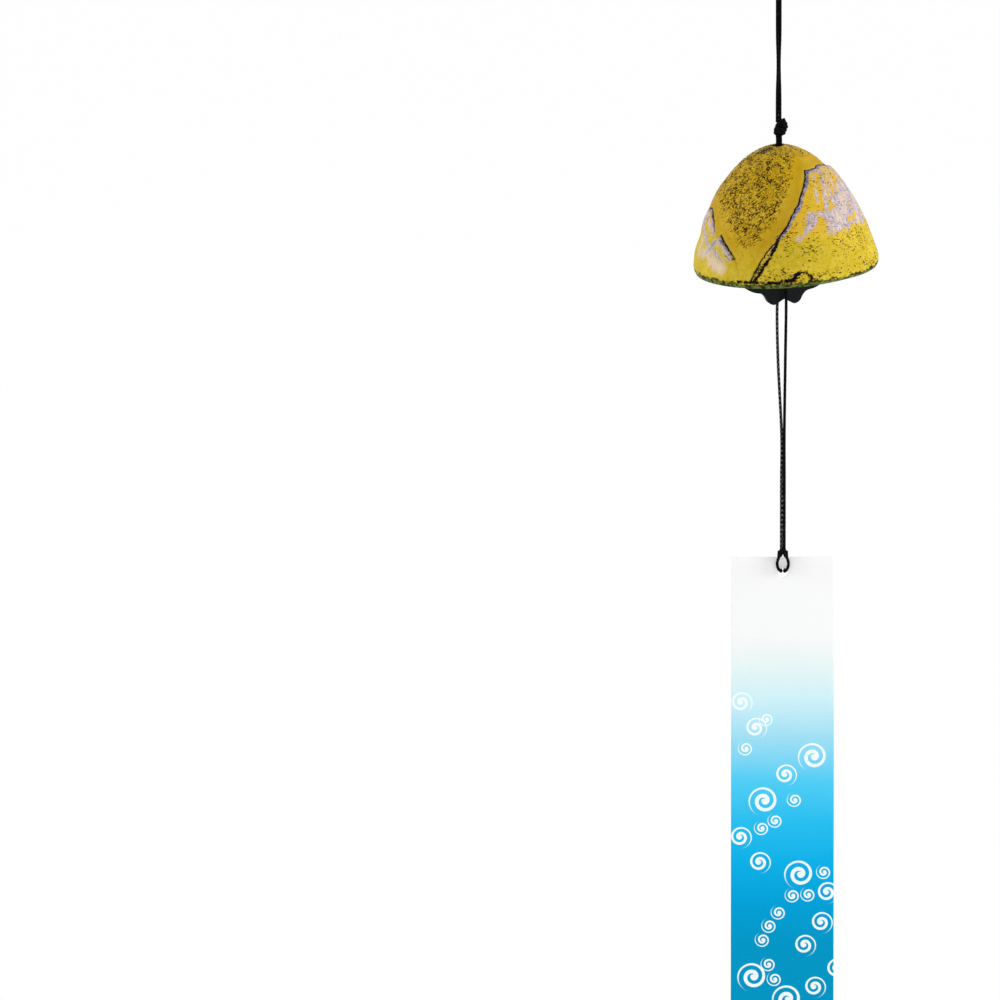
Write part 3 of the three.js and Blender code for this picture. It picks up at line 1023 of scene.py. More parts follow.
def follow(points: Sequence[Place], step: float = CORD_STEP, closed: bool = False) -> np.ndarray:
    """Runs a smooth curve through points, as the part's own cord routes do.

    Args:
        points: The points, in millimetres.
        step: Distance between the points that come back.
        closed: Whether the last point leads on to the first.

    Returns:
        Evenly spaced points on the curve.
    """
    given = np.array(points, float)
    if closed:
        padded = np.vstack([given[-1], given, given[:2]])
    else:
        padded = np.vstack([2 * given[0] - given[1], given, 2 * given[-1] - given[-2]])
    t = np.linspace(0, 1, 40, endpoint=False)[:, None]
    fine = []
    for i in range(len(padded) - 3):
        p0, p1, p2, p3 = padded[i : i + 4]
        gaps = [max(np.linalg.norm(b - a) ** 0.5, 1e-6) for a, b in ((p0, p1), (p1, p2), (p2, p3))]
        start = (p1 - p0) / gaps[0] - (p2 - p0) / (gaps[0] + gaps[1]) + (p2 - p1) / gaps[1]
        end = (p2 - p1) / gaps[1] - (p3 - p1) / (gaps[1] + gaps[2]) + (p3 - p2) / gaps[2]
        start, end = start * gaps[1], end * gaps[1]
        bend = (3 * (p2 - p1) - 2 * start - end) * t**2
        fine.append(p1 + start * t + bend + (2 * (p1 - p2) + start + end) * t**3)
    line = np.vstack([*fine, given[:1] if closed else given[-1:]])
    along = distances(line)
    return resample(line, along, max(2, round(along[-1] / step) + 1))


@dataclass
class Braid:
    """A braided cord: a tube whose surface carries four columns of crossings."""

    radius: float = LAYOUT.cord
    sides: int = 16
    crossing: float = 2.0
    swell: float = 0.06
    twist: float = 110.0

    def tube(self, name: str, lines: Sequence[np.ndarray]) -> bpy.types.Object:
        """Sweeps the cord's section along one or more lines and joins the tubes in one mesh.

        Args:
            name: The piece's name.
            lines: The centrelines, in millimetres.

        Returns:
            The piece, in metres.
        """
        places, faces, lumps, unrolled = [], [], [], []
        for line in lines:
            self._sweep(line, places, faces, lumps, unrolled)
        mesh = bpy.data.meshes.new(name)
        mesh.from_pydata((np.vstack(places) * MM).tolist(), [], faces)
        piece = bpy.data.objects.new(name, mesh)
        bpy.context.scene.collection.objects.link(piece)
        put_attribute(piece, "lump", np.concatenate(lumps))
        layer = mesh.uv_layers.new(name="Along")
        layer.data.foreach_set("uv", np.array(unrolled, np.float32).ravel())
        shade(piece)
        return piece

    def _sweep(self, line: np.ndarray, places: list, faces: list, lumps: list, unrolled: list) -> None:
        """Adds one tube to what has been gathered so far.

        Args:
            line: Its centreline, in millimetres.
            places: Rings of points.
            faces: Faces, by the numbers of their points.
            lumps: How high the braid stands at each point.
            unrolled: For each corner of a face, the share of the way round and the distance along.
        """
        first, along = sum(len(ring) for ring in places), distances(line)
        tangents = np.gradient(line, axis=0)
        tangents /= np.linalg.norm(tangents, axis=1)[:, None]
        side = np.cross(tangents[0], (0.0, 1.0, 0.0) if abs(tangents[0][1]) < 0.9 else (1.0, 0.0, 0.0))
        angles = np.arange(self.sides) * 2 * math.pi / self.sides
        for centre, tangent, distance in zip(line, tangents, along):
            side = side - tangent * (side @ tangent)
            side /= np.linalg.norm(side)
            turned = angles + distance * 2 * math.pi / self.twist
            crossing = np.cos(2 * angles) * math.cos(2 * math.pi * distance / self.crossing)
            lump = np.sqrt(0.5 + 0.5 * crossing)
            reach = self.radius * (1 - self.swell * (1 - lump))
            spoke = np.cos(turned)[:, None] * side + np.sin(turned)[:, None] * np.cross(tangent, side)
            places.append(centre + reach[:, None] * spoke)
            lumps.append(lump)
        rings = range(first, first + len(line) * self.sides, self.sides)
        for a, b, near, far in zip(rings, rings[1:], along, along[1:]):
            for i in range(self.sides):
                j, left, right = (i + 1) % self.sides, i / self.sides, (i + 1) / self.sides
                faces.append((a + i, a + j, b + j, b + i))
                unrolled += [(left, near), (right, near), (right, far), (left, far)]
        faces.append(tuple(rings[0] + i for i in reversed(range(self.sides))))
        faces.append(tuple(rings[-1] + i for i in range(self.sides)))
        unrolled += [(0.0, 0.0)] * self.sides + [(0.0, float(along[-1]))] * self.sides


@dataclass
class WoundKnot:
    """A tight knot in a doubled cord: two strands wound side by side round a heart, with a short cut end."""

    name: str
    centre: Place
    size: Place
    turn: float = 0.0
    stub: Sequence[Place] = ()
    course: Sequence[Place] = (
        (0.0, -0.1, 1.0), (0.25, -0.5, 0.82), (0.8, -0.65, 0.6), (0.95, 0.2, 0.45), (0.3, 0.9, 0.35),
        (-0.6, 0.6, 0.25), (-0.85, -0.3, 0.02), (-0.3, -0.95, -0.25), (0.55, -0.7, -0.45), (0.85, 0.2, -0.55),
        (0.1, 0.9, -0.5), (-0.8, 0.5, -0.42), (-0.9, -0.35, -0.5), (-0.2, -0.7, -0.75), (0.1, -0.2, -1.0),
    )
    shear: float = 0.0
    entry: float = 0.0
    thick: float = 0.68
    wrap: Place = (1.0, 0.9, 1.0)
    unevenness: float = 0.12

    def _pair(self) -> list[np.ndarray]:
        """Winds the two strands side by side along the knot's course.

        Returns:
            Their lines, about the knot's centre.
        """
        reach = np.array(self.size) - LAYOUT.cord
        reach[2] -= LAYOUT.pair
        middle = follow([np.array(p) * reach for p in self.course])
        beside = np.cross(middle * (1.0, 1.0, 0.25), np.gradient(middle, axis=0))
        beside /= np.linalg.norm(beside, axis=1)[:, None] + 1e-9
        for _ in range(6):
            beside[1:-1] = (beside[:-2] + beside[1:-1] + beside[2:]) / 3
        return [middle + s * LAYOUT.pair * beside for s in (-1, 1)]

    def _heart(self) -> bpy.types.Object:
        """Packs a heart into the knot, which closes what would show between the turns.

        Returns:
            The heart.
        """
        bpy.ops.mesh.primitive_uv_sphere_add(segments=32, ring_count=20, radius=1.0)
        heart = take_new("heart")
        heart.scale = (np.array(self.size) - self.wrap).tolist()
        settle(heart, Matrix.Translation(Vector(self.centre)))
        places = points_of(heart)
        middle = places.mean(axis=0)
        swell = [1 + self.unevenness * noise.noise(Vector(p) * 900) for p in places]
        move_points(heart, middle + (places - middle) * np.array(swell)[:, None])
        shade(heart)
        return heart

    def build(self) -> bpy.types.Object:
        """Winds the strands, adds the cut end and the heart, and joins them.

        Returns:
            The knot.
        """
        cosine, sine = math.cos(self.turn), math.sin(self.turn)
        spin = np.array([[cosine, -sine, 0], [sine, cosine, 0], [0, 0, 1]])
        lines = []
        for line in self._pair():
            rise = line[:, 2] / self.size[2]
            line[:, 0] += self.shear * line[:, 2] + self.entry * smooth(rise, 0.35, 0.8)
            lines.append(line @ spin.T + np.array(self.centre))
        if self.stub:
            lines.append(follow([np.array(self.centre) + p for p in self.stub]))
        return join(Braid(radius=self.thick, swell=0.04).tube(self.name, lines), self._heart())


@dataclass
class UpperCord:
    """The doubled cord from the hook to the knot above the crown, the knots and the short neck."""

    loop_radius: float = 4.0
    loop_length: float = 14.0
    twist_start: float = 0.2
    twist_end: float = 0.95
    twist: float = math.radians(62)
    reach_into_knot: float = 1.8
    knot_offset: Place = (0.93, 0.0, -0.55)
    knot_size: Place = (2.5, 2.3, 3.8)
    knot_stub: Sequence[Place] = ((1.2, 0.3, 1.2), (1.25, 0.3, 2.4), (0.75, 0.2, 3.7))
    inner_turn: float = math.radians(150)
    bend_start: Place = (0, 0, -0.0115)
    bend_end: Place = (0, 0, -0.0168)

    def _loop(self) -> list[Place]:
        """Lays out the hanging loop.

        Returns:
            Its points, from its right leg over the hook to its left leg.
        """
        pair, centre, end = LAYOUT.pair, LAYOUT.cord - self.loop_radius, -self.loop_length
        leg = [(pair, 0.0, end), (pair, 0.0, end + 1.2), (pair + 0.7, 0.0, end + 3.6)]
        turns = [math.radians(a) for a in range(-20, 201, 20)]
        top = [(self.loop_radius * math.cos(a), 0.0, centre + self.loop_radius * math.sin(a)) for a in turns]
        return [*leg, *top, *[(-x, y, z) for x, y, z in reversed(leg)]]

    def _hanger(self, side: int) -> list[Place]:
        """Lays out one hanger strand.

        Args:
            side: Which one, -1 or 1.

        Returns:
            Its points, from the loop down into the knot.
        """
        start = -self.loop_length - LAYOUT.clearance
        end = LAYOUT.top_knot + 1.12 * LAYOUT.top_knot_radius + LAYOUT.clearance
        points = []
        for i in range(17):
            share = i / 16
            along = min(max((share - self.twist_start) / (self.twist_end - self.twist_start), 0.0), 1.0)
            turn = self.twist * math.sin(math.pi * along) ** 2
            z = start + (end - start) * share
            points.append((side * LAYOUT.pair * math.cos(turn), side * LAYOUT.pair * math.sin(turn), z))
        return [*points, (points[-1][0], 0.0, end - self.reach_into_knot)]

    def _neck(self, side: int) -> np.ndarray:
        """Lays out one strand between the two knots, through the crown hole.

        Args:
            side: Which one, -1 or 1.

        Returns:
            Its line.
        """
        x = side * LAYOUT.pair
        top = LAYOUT.top_knot - 1.08 * LAYOUT.top_knot_radius
        bottom = LAYOUT.pivot + LAYOUT.inner_knot
        return follow([(x, 0, top + 1.6), (x + 0.15, 0, top - 1.2), (x + 0.2, 0, top - 3.0), (x, 0, bottom - 1.6)])

    def build(self, material: bpy.types.Material) -> None:
        """Makes the cord, its two knots and the neck strands, and dresses them.

        Args:
            material: Their finish.
        """
        line = follow([*reversed(self._hanger(-1)), *reversed(self._loop()), *self._hanger(1)])
        cord = Braid().tube("upper_cord", [line])
        dress(cord, material, None, ["hanging_loop", "hanger_strand_left", "hanger_strand_right"])
        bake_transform(cord)

        x, y, up = self.knot_offset
        knot = WoundKnot(
            "top_knot_wound", (x, y, LAYOUT.top_knot + up), self.knot_size, shear=0.2, entry=-1.5, thick=0.95,
            stub=self.knot_stub,
        ).build()
        dress(knot, material, "bell_knots", ["top_knot"])
        neck = Braid(radius=0.7, swell=0.03).tube("neck_strands", [self._neck(s) for s in (-1, 1)])
        dress(neck, material, "bell_knots", ["neck_strand_left", "neck_strand_right"])
        size = (LAYOUT.inner_knot,) * 3
        inner = WoundKnot("inner_knot_wound", (0, 0, LAYOUT.pivot), size, self.inner_turn).build()
        dress(inner, material, "bell_knots", ["inner_knot"])


@dataclass
class LowerCord:
    """The doubled cord that carries the clapper and the strip, with its tie and its hitch."""

    front_along: float = 0.2
    back_along: float = -1.5
    meet_share: float = 0.62
    hitch_spread: float = 2.3
    hitch_slack: float = 1.3
    tie_size: Place = (2.6, 1.4, 2.6)
    pin_spread: float = 0.6
    bend_start: Place = (0.002, 0, -0.219)
    bend_end: Place = (0.002, 0, -0.2474)

    def _inner(self, side: Side) -> np.ndarray:
        """Lays out one strand inside the bell.

        Args:
            side: Which one.

        Returns:
            Its line, from the knot under the crown to the tie.
        """
        s, yaw = side.value, LAYOUT.clapper_yaw
        x, y = -s * LAYOUT.pair * math.sin(yaw), s * LAYOUT.pair * math.cos(yaw)
        top = LAYOUT.pivot - LAYOUT.inner_knot - LAYOUT.clearance
        bottom = LAYOUT.tie_knot_radius + LAYOUT.clearance
        off = s * LAYOUT.strand_off_face
        return follow([
            (x, y, top + 1.6), (x, y, top), (x + 0.15, y, top - 4),
            LAYOUT.off_plate(0, s * (LAYOUT.pair + 0.5), bottom + 16),
            *[LAYOUT.off_plate(0, off, bottom + up) for up in (4, 0, -1.6)],
        ])

    def _lower(self, side: Side) -> np.ndarray:
        """Lays out one strand below the clapper.

        Args:
            side: Which one.

        Returns:
            Its line, from the tie to the hitch.
        """
        s, along = side.value, self.front_along if side is Side.FRONT else self.back_along
        off, pair, middle = side.value * LAYOUT.strand_off_face, LAYOUT.pair, LAYOUT.strip_offset
        start = -LAYOUT.tie_knot_radius - LAYOUT.clearance
        end = LAYOUT.strip_top + LAYOUT.hitch_height + LAYOUT.clearance
        meet = LAYOUT.clapper_hole + (end - LAYOUT.clapper_hole) * self.meet_share
        return follow([
            LAYOUT.off_plate(0, off, start + 1.6),
            LAYOUT.off_plate(0, off, start),
            LAYOUT.off_plate(0.3 * along, off, start - 4),
            LAYOUT.off_plate(along, off, -LAYOUT.lobe_drop),
            LAYOUT.off_plate(along, 0.72 * off, -LAYOUT.lobe_drop - 22),
            (middle - 0.9 * s * pair, 0.6 * s * pair, meet),
            (middle - s * pair, 0.2 * s * pair, meet - 18),
            *[(middle - s * pair, 0.0, end + up) for up in (3, 0, -0.8)],
        ])

    def _hitch(self) -> np.ndarray:
        """Lays out the hitch: down in front of the card, through its hole, up behind and round the strands.

        Returns:
            Its line.
        """
        hole = LAYOUT.strip_hole - LAYOUT.strip_hole_drop - 1.8 * LAYOUT.clearance - LAYOUT.cord
        top, spread, pair = LAYOUT.hitch_height, self.hitch_spread, LAYOUT.pair
        bow = LAYOUT.card / 2 + self.hitch_slack + LAYOUT.cord
        half = [
            (pair, 0, top), (pair + 0.2, 0, 0.75 * top), (pair + 0.25, -0.5 * bow, 0.4 * top),
            (0.8 * spread, -bow, 0.04 * hole), (spread, -bow, 0.37 * hole),
            (0.84 * spread, -0.95 * bow, 0.72 * hole), (pair + 0.3, -0.74 * bow, 0.96 * hole),
            (pair + 0.05, 0, hole), (pair + 0.3, 0.74 * bow, 0.96 * hole),
            (0.63 * spread, bow, 0.68 * hole), (0.7 * spread, 1.02 * bow, 0.37 * hole),
            (0.72 * spread, bow, 0.04 * hole), (0.68 * spread, 0.62 * bow, 0.4 * top),
            (0.66 * spread, -0.35 * bow, 0.62 * top), (0.42 * spread, -1.15 * bow, 0.3 * top),
        ]
        route = [*half, (0, -1.05 * bow, 0.87 * top), *[(-x, y, z) for x, y, z in reversed(half)]]
        return follow(route) + np.array((LAYOUT.strip_offset, 0.0, LAYOUT.strip_top))

    def _tie(self) -> bpy.types.Object:
        """Ties the clapper: a knot on each face, and the two strands through its hole.

        Returns:
            The tie, as one piece.
        """
        off, yaw, spread = LAYOUT.strand_off_face, LAYOUT.clapper_yaw, self.pin_spread
        knots = [
            WoundKnot("tie", LAYOUT.off_plate(0, side.value * off, 0), self.tie_size, yaw).build() for side in Side
        ]
        pins = [follow([LAYOUT.off_plate(x, -off, 0), LAYOUT.off_plate(x, off, 0)]) for x in (-spread, spread)]
        return join(Braid(sides=12).tube("clapper_knot_wound", pins), *knots)

    def build(self, material: bpy.types.Material, glinting: bpy.types.Material) -> None:
        """Makes the strands, the tie and the hitch, and dresses them.

        Args:
            material: The finish of the front strand and the knots.
            glinting: The finish of the back strand, whose glints are painted brighter, as more light falls on it.
        """
        tie = self._tie()
        dress(tie, material, "clapper_line", ["clapper_knot"])
        hitch = Braid().tube("strip_hitch_wound", [self._hitch()])
        dress(hitch, material, "strip_hitch", ["strip_hitch"])
        # The back strand takes the finish with the brighter painted glints
        for side, own in ((Side.FRONT, material), (Side.BACK, glinting)):
            word = side.name.lower()
            inner_line, lower_line = self._inner(side), self._lower(side)
            inner = Braid().tube(f"inner_cord_{word}", [inner_line])
            dress(inner, own, "clapper_line", [f"inner_strand_{word}"])
            lower = Braid().tube(f"lower_cord_{word}", [lower_line])
            dress(lower, own, None, [f"{word}_strand"])
            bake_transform(lower)


# The bell


@dataclass(frozen=True)
class Ridge:
    """A ridge line on the bell: points of azimuth, height, groove depth and strength of the pale band."""

    points: Sequence[tuple[float, float, float, float]]
    mountain: int


@dataclass
class Wall:
    """The points of the bell's wall, and how they lie to what is drawn on it.

    The heights are a view of the places, so they follow when the points are moved; all the rest is as measured.
    """

    places: np.ndarray
    z: np.ndarray
    r: np.ndarray
    azimuth: np.ndarray
    gap: np.ndarray
    outer: np.ndarray
    depths: Sequence[np.ndarray]
    inside: np.ndarray
    ridge: np.ndarray
    groove: np.ndarray
    halo: np.ndarray
    crack: np.ndarray
    sky: np.ndarray
    rough: np.ndarray

    def spread(self, values: np.ndarray, rest: float = -FAR) -> np.ndarray:
        """Puts the outside's values among those of the whole wall.

        Args:
            values: A value for each point of the outside.
            rest: The value of all other points.

        Returns:
            A value for each point.
        """
        full = np.full(len(self.outer), rest)
        full[self.outer] = values
        return full


@dataclass
class Bell:
    """The cast bell with its relief of three peaks, and the masks that its paint reads."""

    segments: int = 480
    rows: int = 150
    inner_rows: int = 20
    lip: float = 0.5
    band: float = 1.7
    bevel: float = 0.8
    relief: float = 0.8
    relief_edge: float = 1.4
    big_middle: float = -23.0
    big_ridge: Sequence[Place] = (
        (-52, 43.3), (-62, 39.1), (-69, 35.5), (-75, 31.6), (-81, 28.5), (-86, 24.4), (-91, 21.4), (-96, 17.9),
        (-101, 15.0), (-105, 11.4), (-109, 7.0), (-112, 3.2), (-114, 0),
    )
    big_summit: Sequence[Place] = (
        (-52, 43.3), (-45, 42.9), (-38, 43.1), (-32, 43.0), (-26, 43.4), (-20, 43.5), (-13, 42.8), (-5, 42.2),
        (6, 41.4),
    )
    near_left: Sequence[Place] = (
        (-168, 27.8), (-177, 26.9), (-184, 23.6), (-190, 21.9), (-196, 18.0), (-203, 15.2), (-208, 10.6),
        (-216, 6.9), (-224, 0),
    )
    near_right: Sequence[Place] = (
        (-168, 27.8), (-162, 26.8), (-159, 25.5), (-155, 24.3), (-152, 22.8), (-149.5, 21.4), (-147, 20.4),
        (-144, 18.6), (-132, 8), (-126, 0),
    )
    low_left: Sequence[Place] = (
        (-140.5, 20.0), (-144, 17.6), (-148, 15.8), (-152, 13.4), (-160, 8), (-168, 0),
    )
    low_right: Sequence[Place] = (
        (-140.5, 20.0), (-137, 18.3), (-133, 16.5), (-130, 14.7), (-127, 13.4), (-124, 11.7), (-117, 0),
    )

    # Brushed snow: the field's outline in azimuth and height, then half widths and points of strokes and gaps
    snow_field: Sequence[Place] = (
        (-43, 31.3), (-39, 33.2), (-27, 33.6), (-22, 35.3), (-14, 36.6), (-6, 34.8), (0, 38.2), (12, 41.0),
        (24, 37.0), (32, 31.0), (36, 26.5), (27, 21.5), (19, 18.8), (11, 20.4), (3, 18.0), (-4, 18.8),
        (-12, 18.0), (-19, 18.9), (-29, 20.4), (-36, 18.8), (-42, 19.6), (-49, 18.9), (-56, 19.6), (-55, 23.4),
        (-56, 25.8), (-61, 26.9), (-64, 28.6), (-52, 28.1), (-48, 27.6), (-44, 28.6), (-42, 29.8),
    )
    snow: Sequence[tuple[float, Sequence[Place]]] = (
        (0.8, ((-47, 40.2), (-53, 36.4), (-56, 32.0))),
        (1.2, ((-33, 42.0), (-38, 38.5), (-44, 34.5), (-47, 31.0), (-50, 28.4))),
        (0.9, ((-25, 40.2), (-34, 36.6), (-39, 32.8))),
        (1.1, ((-46, 41.9), (-33, 42.0), (-20, 42.0), (-5, 40.6), (6, 39.8))),
        (1.3, ((-12, 40.6), (-8, 37.0))), (0.8, ((-20, 41.0), (-26, 37.0), (-29, 34.0))),
        (1.0, ((-65, 27.9), (-70, 26.3), (-69, 24.0), (-70, 22.6), (-75, 20.6), (-79, 19.0))),
        (1.0, ((-63, 27.0), (-64.5, 24.9), (-68, 22.8))),
    )
    gaps: Sequence[tuple[float, Sequence[Place]]] = (
        (0.5, ((-20, 27.4), (-21.5, 25.2))), (0.45, ((-2, 24.8), (-3, 22.4))),
        (0.75, ((-19, 23.6), (-24, 22.6), (-31, 22.6))), (0.8, ((-46, 29.1), (-42, 29.2))),
        (0.9, ((-29, 37.6), (-34, 35.0))), (0.8, ((10, 34.0), (14, 30.0))), (0.6, ((23, 28.0), (24, 24.5))),
        (0.4, ((4, 27.0), (5, 24.0))),
    )
    snow_near: Sequence[tuple[float, Sequence[Place]]] = (
        (1.5, ((-180, 24.6), (-171, 24.6), (-163, 23.0), (-157, 21.6), (-152, 20.4))),
        (1.4, ((-182, 22.0), (-175, 21.6), (-171, 19.4), (-166, 17.9), (-160, 16.7), (-155, 15.2))),
        (1.2, ((-178, 19.0), (-186, 16.0), (-194, 12.0))),
        (1.1, ((-142, 18.0), (-147, 15.4), (-152, 12.6))),
        (1.3, ((-140.5, 17.4), (-136, 15.9), (-132, 13.8), (-128, 12.0))),
        (1.2, ((-146, 13.2), (-141, 12.4), (-134, 10.6))), (0.8, ((-158, 12.5), (-160, 9.5))),
    )
    washes: Sequence[tuple[float, Sequence[Place]]] = (
        (3.0, ((-158, 11.6), (-149, 10.2), (-141, 8.6), (-135, 7.4))), (2.0, ((-168, 15.5), (-165, 10.0))),
    )
    smudges: Sequence[tuple[float, Sequence[Place]]] = (
        (0.6, ((-107, 47.2), (-105, 43.7), (-100, 41.2))), (0.3, ((-63, 49.3), (-75, 47.3))),
        (0.9, ((-157, 49.4), (-133, 50.5))), (0.2, ((-20, 49.5), (-18, 47.9))),
        (0.45, ((-118, 17.8), (-118, 13.6))), (0.4, ((-119, 8.0), (-116, 8.0))),
        (1.2, ((-94, 20.0), (-99, 15.6), (-103, 11.0), (-107, 6.5), (-110, 3.5))),
        (0.7, ((-92, 23.4), (-84, 21.4))), (1.0, ((-129, 12.6), (-126, 11.8), (-123.5, 10.6))),
        (0.7, ((-84, 3.4), (-83, 4.9), (-79, 5.8), (-75, 5.2))), (0.6, ((-118, 2.6), (-96, 2.4), (-84, 3.2))),
    )
    second_line: Sequence[Place] = ((-93, 18.9), (-97, 15.0), (-100, 11.4), (-104, 8.1), (-108, 3.7), (-110, 2.4))
    rock: Sequence[Place] = ((-84, 3.3), (-83, 4.9), (-79, 5.8), (-76, 5.4), (-73, 3.8), (-73, 2.6))
    foot: Sequence[Place] = ((-121, 2.3), (-112, 2.5), (-96, 2.1), (-89, 2.7), (-84, 3.2))
    rim_height: float = 1.45
    rim_left: float = 0.8
    near_sink: float = 0.85
    flare: float = 0.95
    pinch: float = 0.3
    arch: float = 0.45
    line_step: float = 0.25
    rim_bulge: Place = (205, 28)

    # Depths and widths of the grooves and cracks, the dip beside a ridge (how far off and how wide), and a low step
    groove_cut: float = 0.34
    groove_width: float = 0.42
    crack_cut: float = 0.2
    crack_width: float = 0.5
    dip_cut: float = 0.28
    dip: Place = (2.6, 2.2)
    low_step: float = 0.25

    # The casting's unevenness: how high each kind is, and how fine
    sand: Place = (0.16, 0.95)
    swell: Place = (0.12, 0.16)
    ripple: Place = (0.05, 0.6)

    def _dome(self, radius: float, height: float, z: np.ndarray) -> np.ndarray:
        """A dome's radius at given heights."""
        share = np.clip(z / height, 0, 1)
        return radius * (1 - share**LAYOUT.height_power) ** (1 / LAYOUT.radius_power)

    def _arc(self, radius: float, height: float, r_top: float, z_low: float, rows: int) -> np.ndarray:
        """Evenly spaced profile points of a dome, from a radius near its top down to a height.

        Args:
            radius: The dome's radius at its foot.
            height: Its height.
            r_top: The radius where the points start.
            z_low: The height where they end.
            rows: How many steps they take.

        Returns:
            Pairs of radius and height.
        """
        start = math.asin((r_top / radius) ** (LAYOUT.radius_power / 2))
        end = math.acos((z_low / height) ** (LAYOUT.height_power / 2))
        angle = np.linspace(start, end, 4000)
        r = radius * np.sin(angle) ** (2 / LAYOUT.radius_power)
        z = height * np.clip(np.cos(angle), 0, 1) ** (2 / LAYOUT.height_power)
        along = np.concatenate([[0], np.cumsum(np.hypot(np.diff(r), np.diff(z)))])
        return resample(np.column_stack([r, z]), along, rows + 1)

    def _profile(self) -> np.ndarray:
        """Draws the section of the bell's wall.

        Returns:
            A closed ring of radius and height.
        """
        outside, inside, hole = LAYOUT.bell_radius, LAYOUT.bell_radius - LAYOUT.wall, LAYOUT.crown_hole
        outer = self._arc(outside, LAYOUT.bell_height, hole + self.lip, self.band, self.rows)
        inner = self._arc(inside, LAYOUT.bell_height - LAYOUT.crown_wall, hole, 1e-6, self.inner_rows)[::-1]
        foot, top = outside - self.bevel, outer[0][1]
        rim = [
            (outer[-1][0] - 0.06, self.band - 0.35), (foot + 0.34, 0.62), (foot + 0.1, 0.18), (foot - 0.22, 0.0),
            (inside + 0.5, 0.0), (inside + 0.12, 0.1),
        ]
        mouth = [(hole, inner[-1][1] + 0.4), (hole, top - self.lip), (hole + 0.16, top - 0.16)]
        return np.vstack([outer, rim, inner[1:], mouth])

    def _spun(self) -> bpy.types.Object:
        """Draws the wall's section point by point, spins it round and closes it.

        Returns:
            The plain bell, in millimetres about its rim's centre.
        """
        profile = self._profile()
        bpy.ops.mesh.primitive_plane_add(size=1.0, location=ORIGIN)
        piece = take_new("bell_cast")
        with edit_mode():
            bpy.ops.mesh.merge(type="CENTER")
            bpy.ops.transform.translate(value=(profile[0][0], 0.0, profile[0][1]))
            for here, there in zip(profile, np.vstack([profile[1:], profile[:1]])):
                step = (there[0] - here[0], 0.0, there[1] - here[1])
                bpy.ops.mesh.extrude_region_move(TRANSFORM_OT_translate={"value": step})
            bpy.ops.mesh.select_all(action="SELECT")
            bpy.ops.mesh.remove_doubles(threshold=1e-4)
            bpy.ops.mesh.spin(steps=self.segments, angle=2 * math.pi, center=ORIGIN, axis=(0, 0, 1))
            bpy.ops.mesh.select_all(action="SELECT")
            bpy.ops.mesh.remove_doubles(threshold=1e-3)
            bpy.ops.mesh.normals_make_consistent(inside=False)
        return piece

    def _depth(
        self, left: Sequence[Place], right: Sequence[Place], summit: Sequence[Place],
        azimuth: np.ndarray, z: np.ndarray, r: np.ndarray,
    ) -> np.ndarray:
        """How far points lie inside a mountain's outline, in millimetres.

        Args:
            left: The left ridge, from the top down.
            right: The right ridge, from the top down.
            summit: The summit line.
            azimuth: The points' azimuths.
            z: Their heights.
            r: Their radii.

        Returns:
            The distance, negative outside.
        """
        middle = (summit[0][0] + summit[-1][0]) / 2
        around = middle + (azimuth - middle + 180) % 360 - 180
        low, high = (
            np.interp(z, [p[1] for p in reversed(side)], [p[0] for p in reversed(side)]) for side in (left, right)
        )
        top = np.interp(around, [p[0] for p in summit], [p[1] for p in summit])
        per_degree = math.radians(1) * r
        return np.minimum(np.minimum((around - low) * per_degree, (high - around) * per_degree), top - z)

    def _on_dome(self, azimuth: Sequence[float], z: Sequence[float]) -> np.ndarray:
        """Finds places on the plain dome.

        Args:
            azimuth: Their azimuths, in degrees.
            z: Their heights.

        Returns:
            The places.
        """
        turn, z = np.radians(np.asarray(azimuth, float)), np.asarray(z, float)
        r = self._dome(LAYOUT.bell_radius, LAYOUT.bell_height, z)
        return np.stack([r * np.cos(turn), r * np.sin(turn), z], axis=-1)

    def _mirrored(self) -> list[Place]:
        """The big mountain's far ridge, which starts at the summit line's end."""
        return [self.big_summit[-1], *[(2 * self.big_middle - a, h) for a, h in self.big_ridge[1:]]]

    def _lean(self, places: np.ndarray) -> np.ndarray:
        """How the casting strays from the true dome: a rim that flares to the right and arches at the front.

        Args:
            places: Points on the wall.

        Returns:
            The same points, moved.
        """
        r, z = np.hypot(places[:, 0], places[:, 1]), places[:, 2]
        along = places[:, :2] / r[:, None]
        right, left = np.clip(along[:, 0], 0, 1), np.clip(-along[:, 0], 0, 1)
        front = np.clip(-along[:, 1], 0, 1)
        low = 1 - smooth(z, 1, 13)
        out = self.flare * right**2 * low - self.pinch * left * (1 - smooth(z, 38, 50))
        drop = self.arch * (front**2 - right**2) * low
        return places + np.column_stack([along * out[:, None], drop])

    def _ridges(self) -> list[Ridge]:
        """Lists the ridge lines. Their grooves and pale bands each ease in over a stretch of heights.

        Returns:
            The ridges, each with the mountain that it belongs to.
        """
        cuts = (
            (self.big_ridge, 0, (-3, 2, 1.0), (14, 20, 1.0)),
            (self._mirrored(), 0, (-3, 2, 1.0), (14, 20, 1.0)),
            (self.big_summit, 0, (0, 1, 0.85), (0, 1, 1.0)),
            (self.near_left, 1, (2, 8, 1.0), (6, 12, 1.0)),
            (self.near_right[:7], 1, (19, 25, 1.0), (19, 22, 0.8)),
            (self.low_left[:5], 2, (13, 20, 0.4), (12, 16, 0.8)),
            (self.low_right[:6], 2, (10, 13, 1.0), (11, 15, 0.8)),
        )
        ridges = []
        for points, mountain, *eases in cuts:
            rows = []
            for turn, height in points:
                here = np.array(float(height))
                shares = [strength * float(smooth(here, low, high)) for low, high, strength in eases]
                rows.append((turn, height, *shares))
            ridges.append(Ridge(rows, mountain))
        return ridges

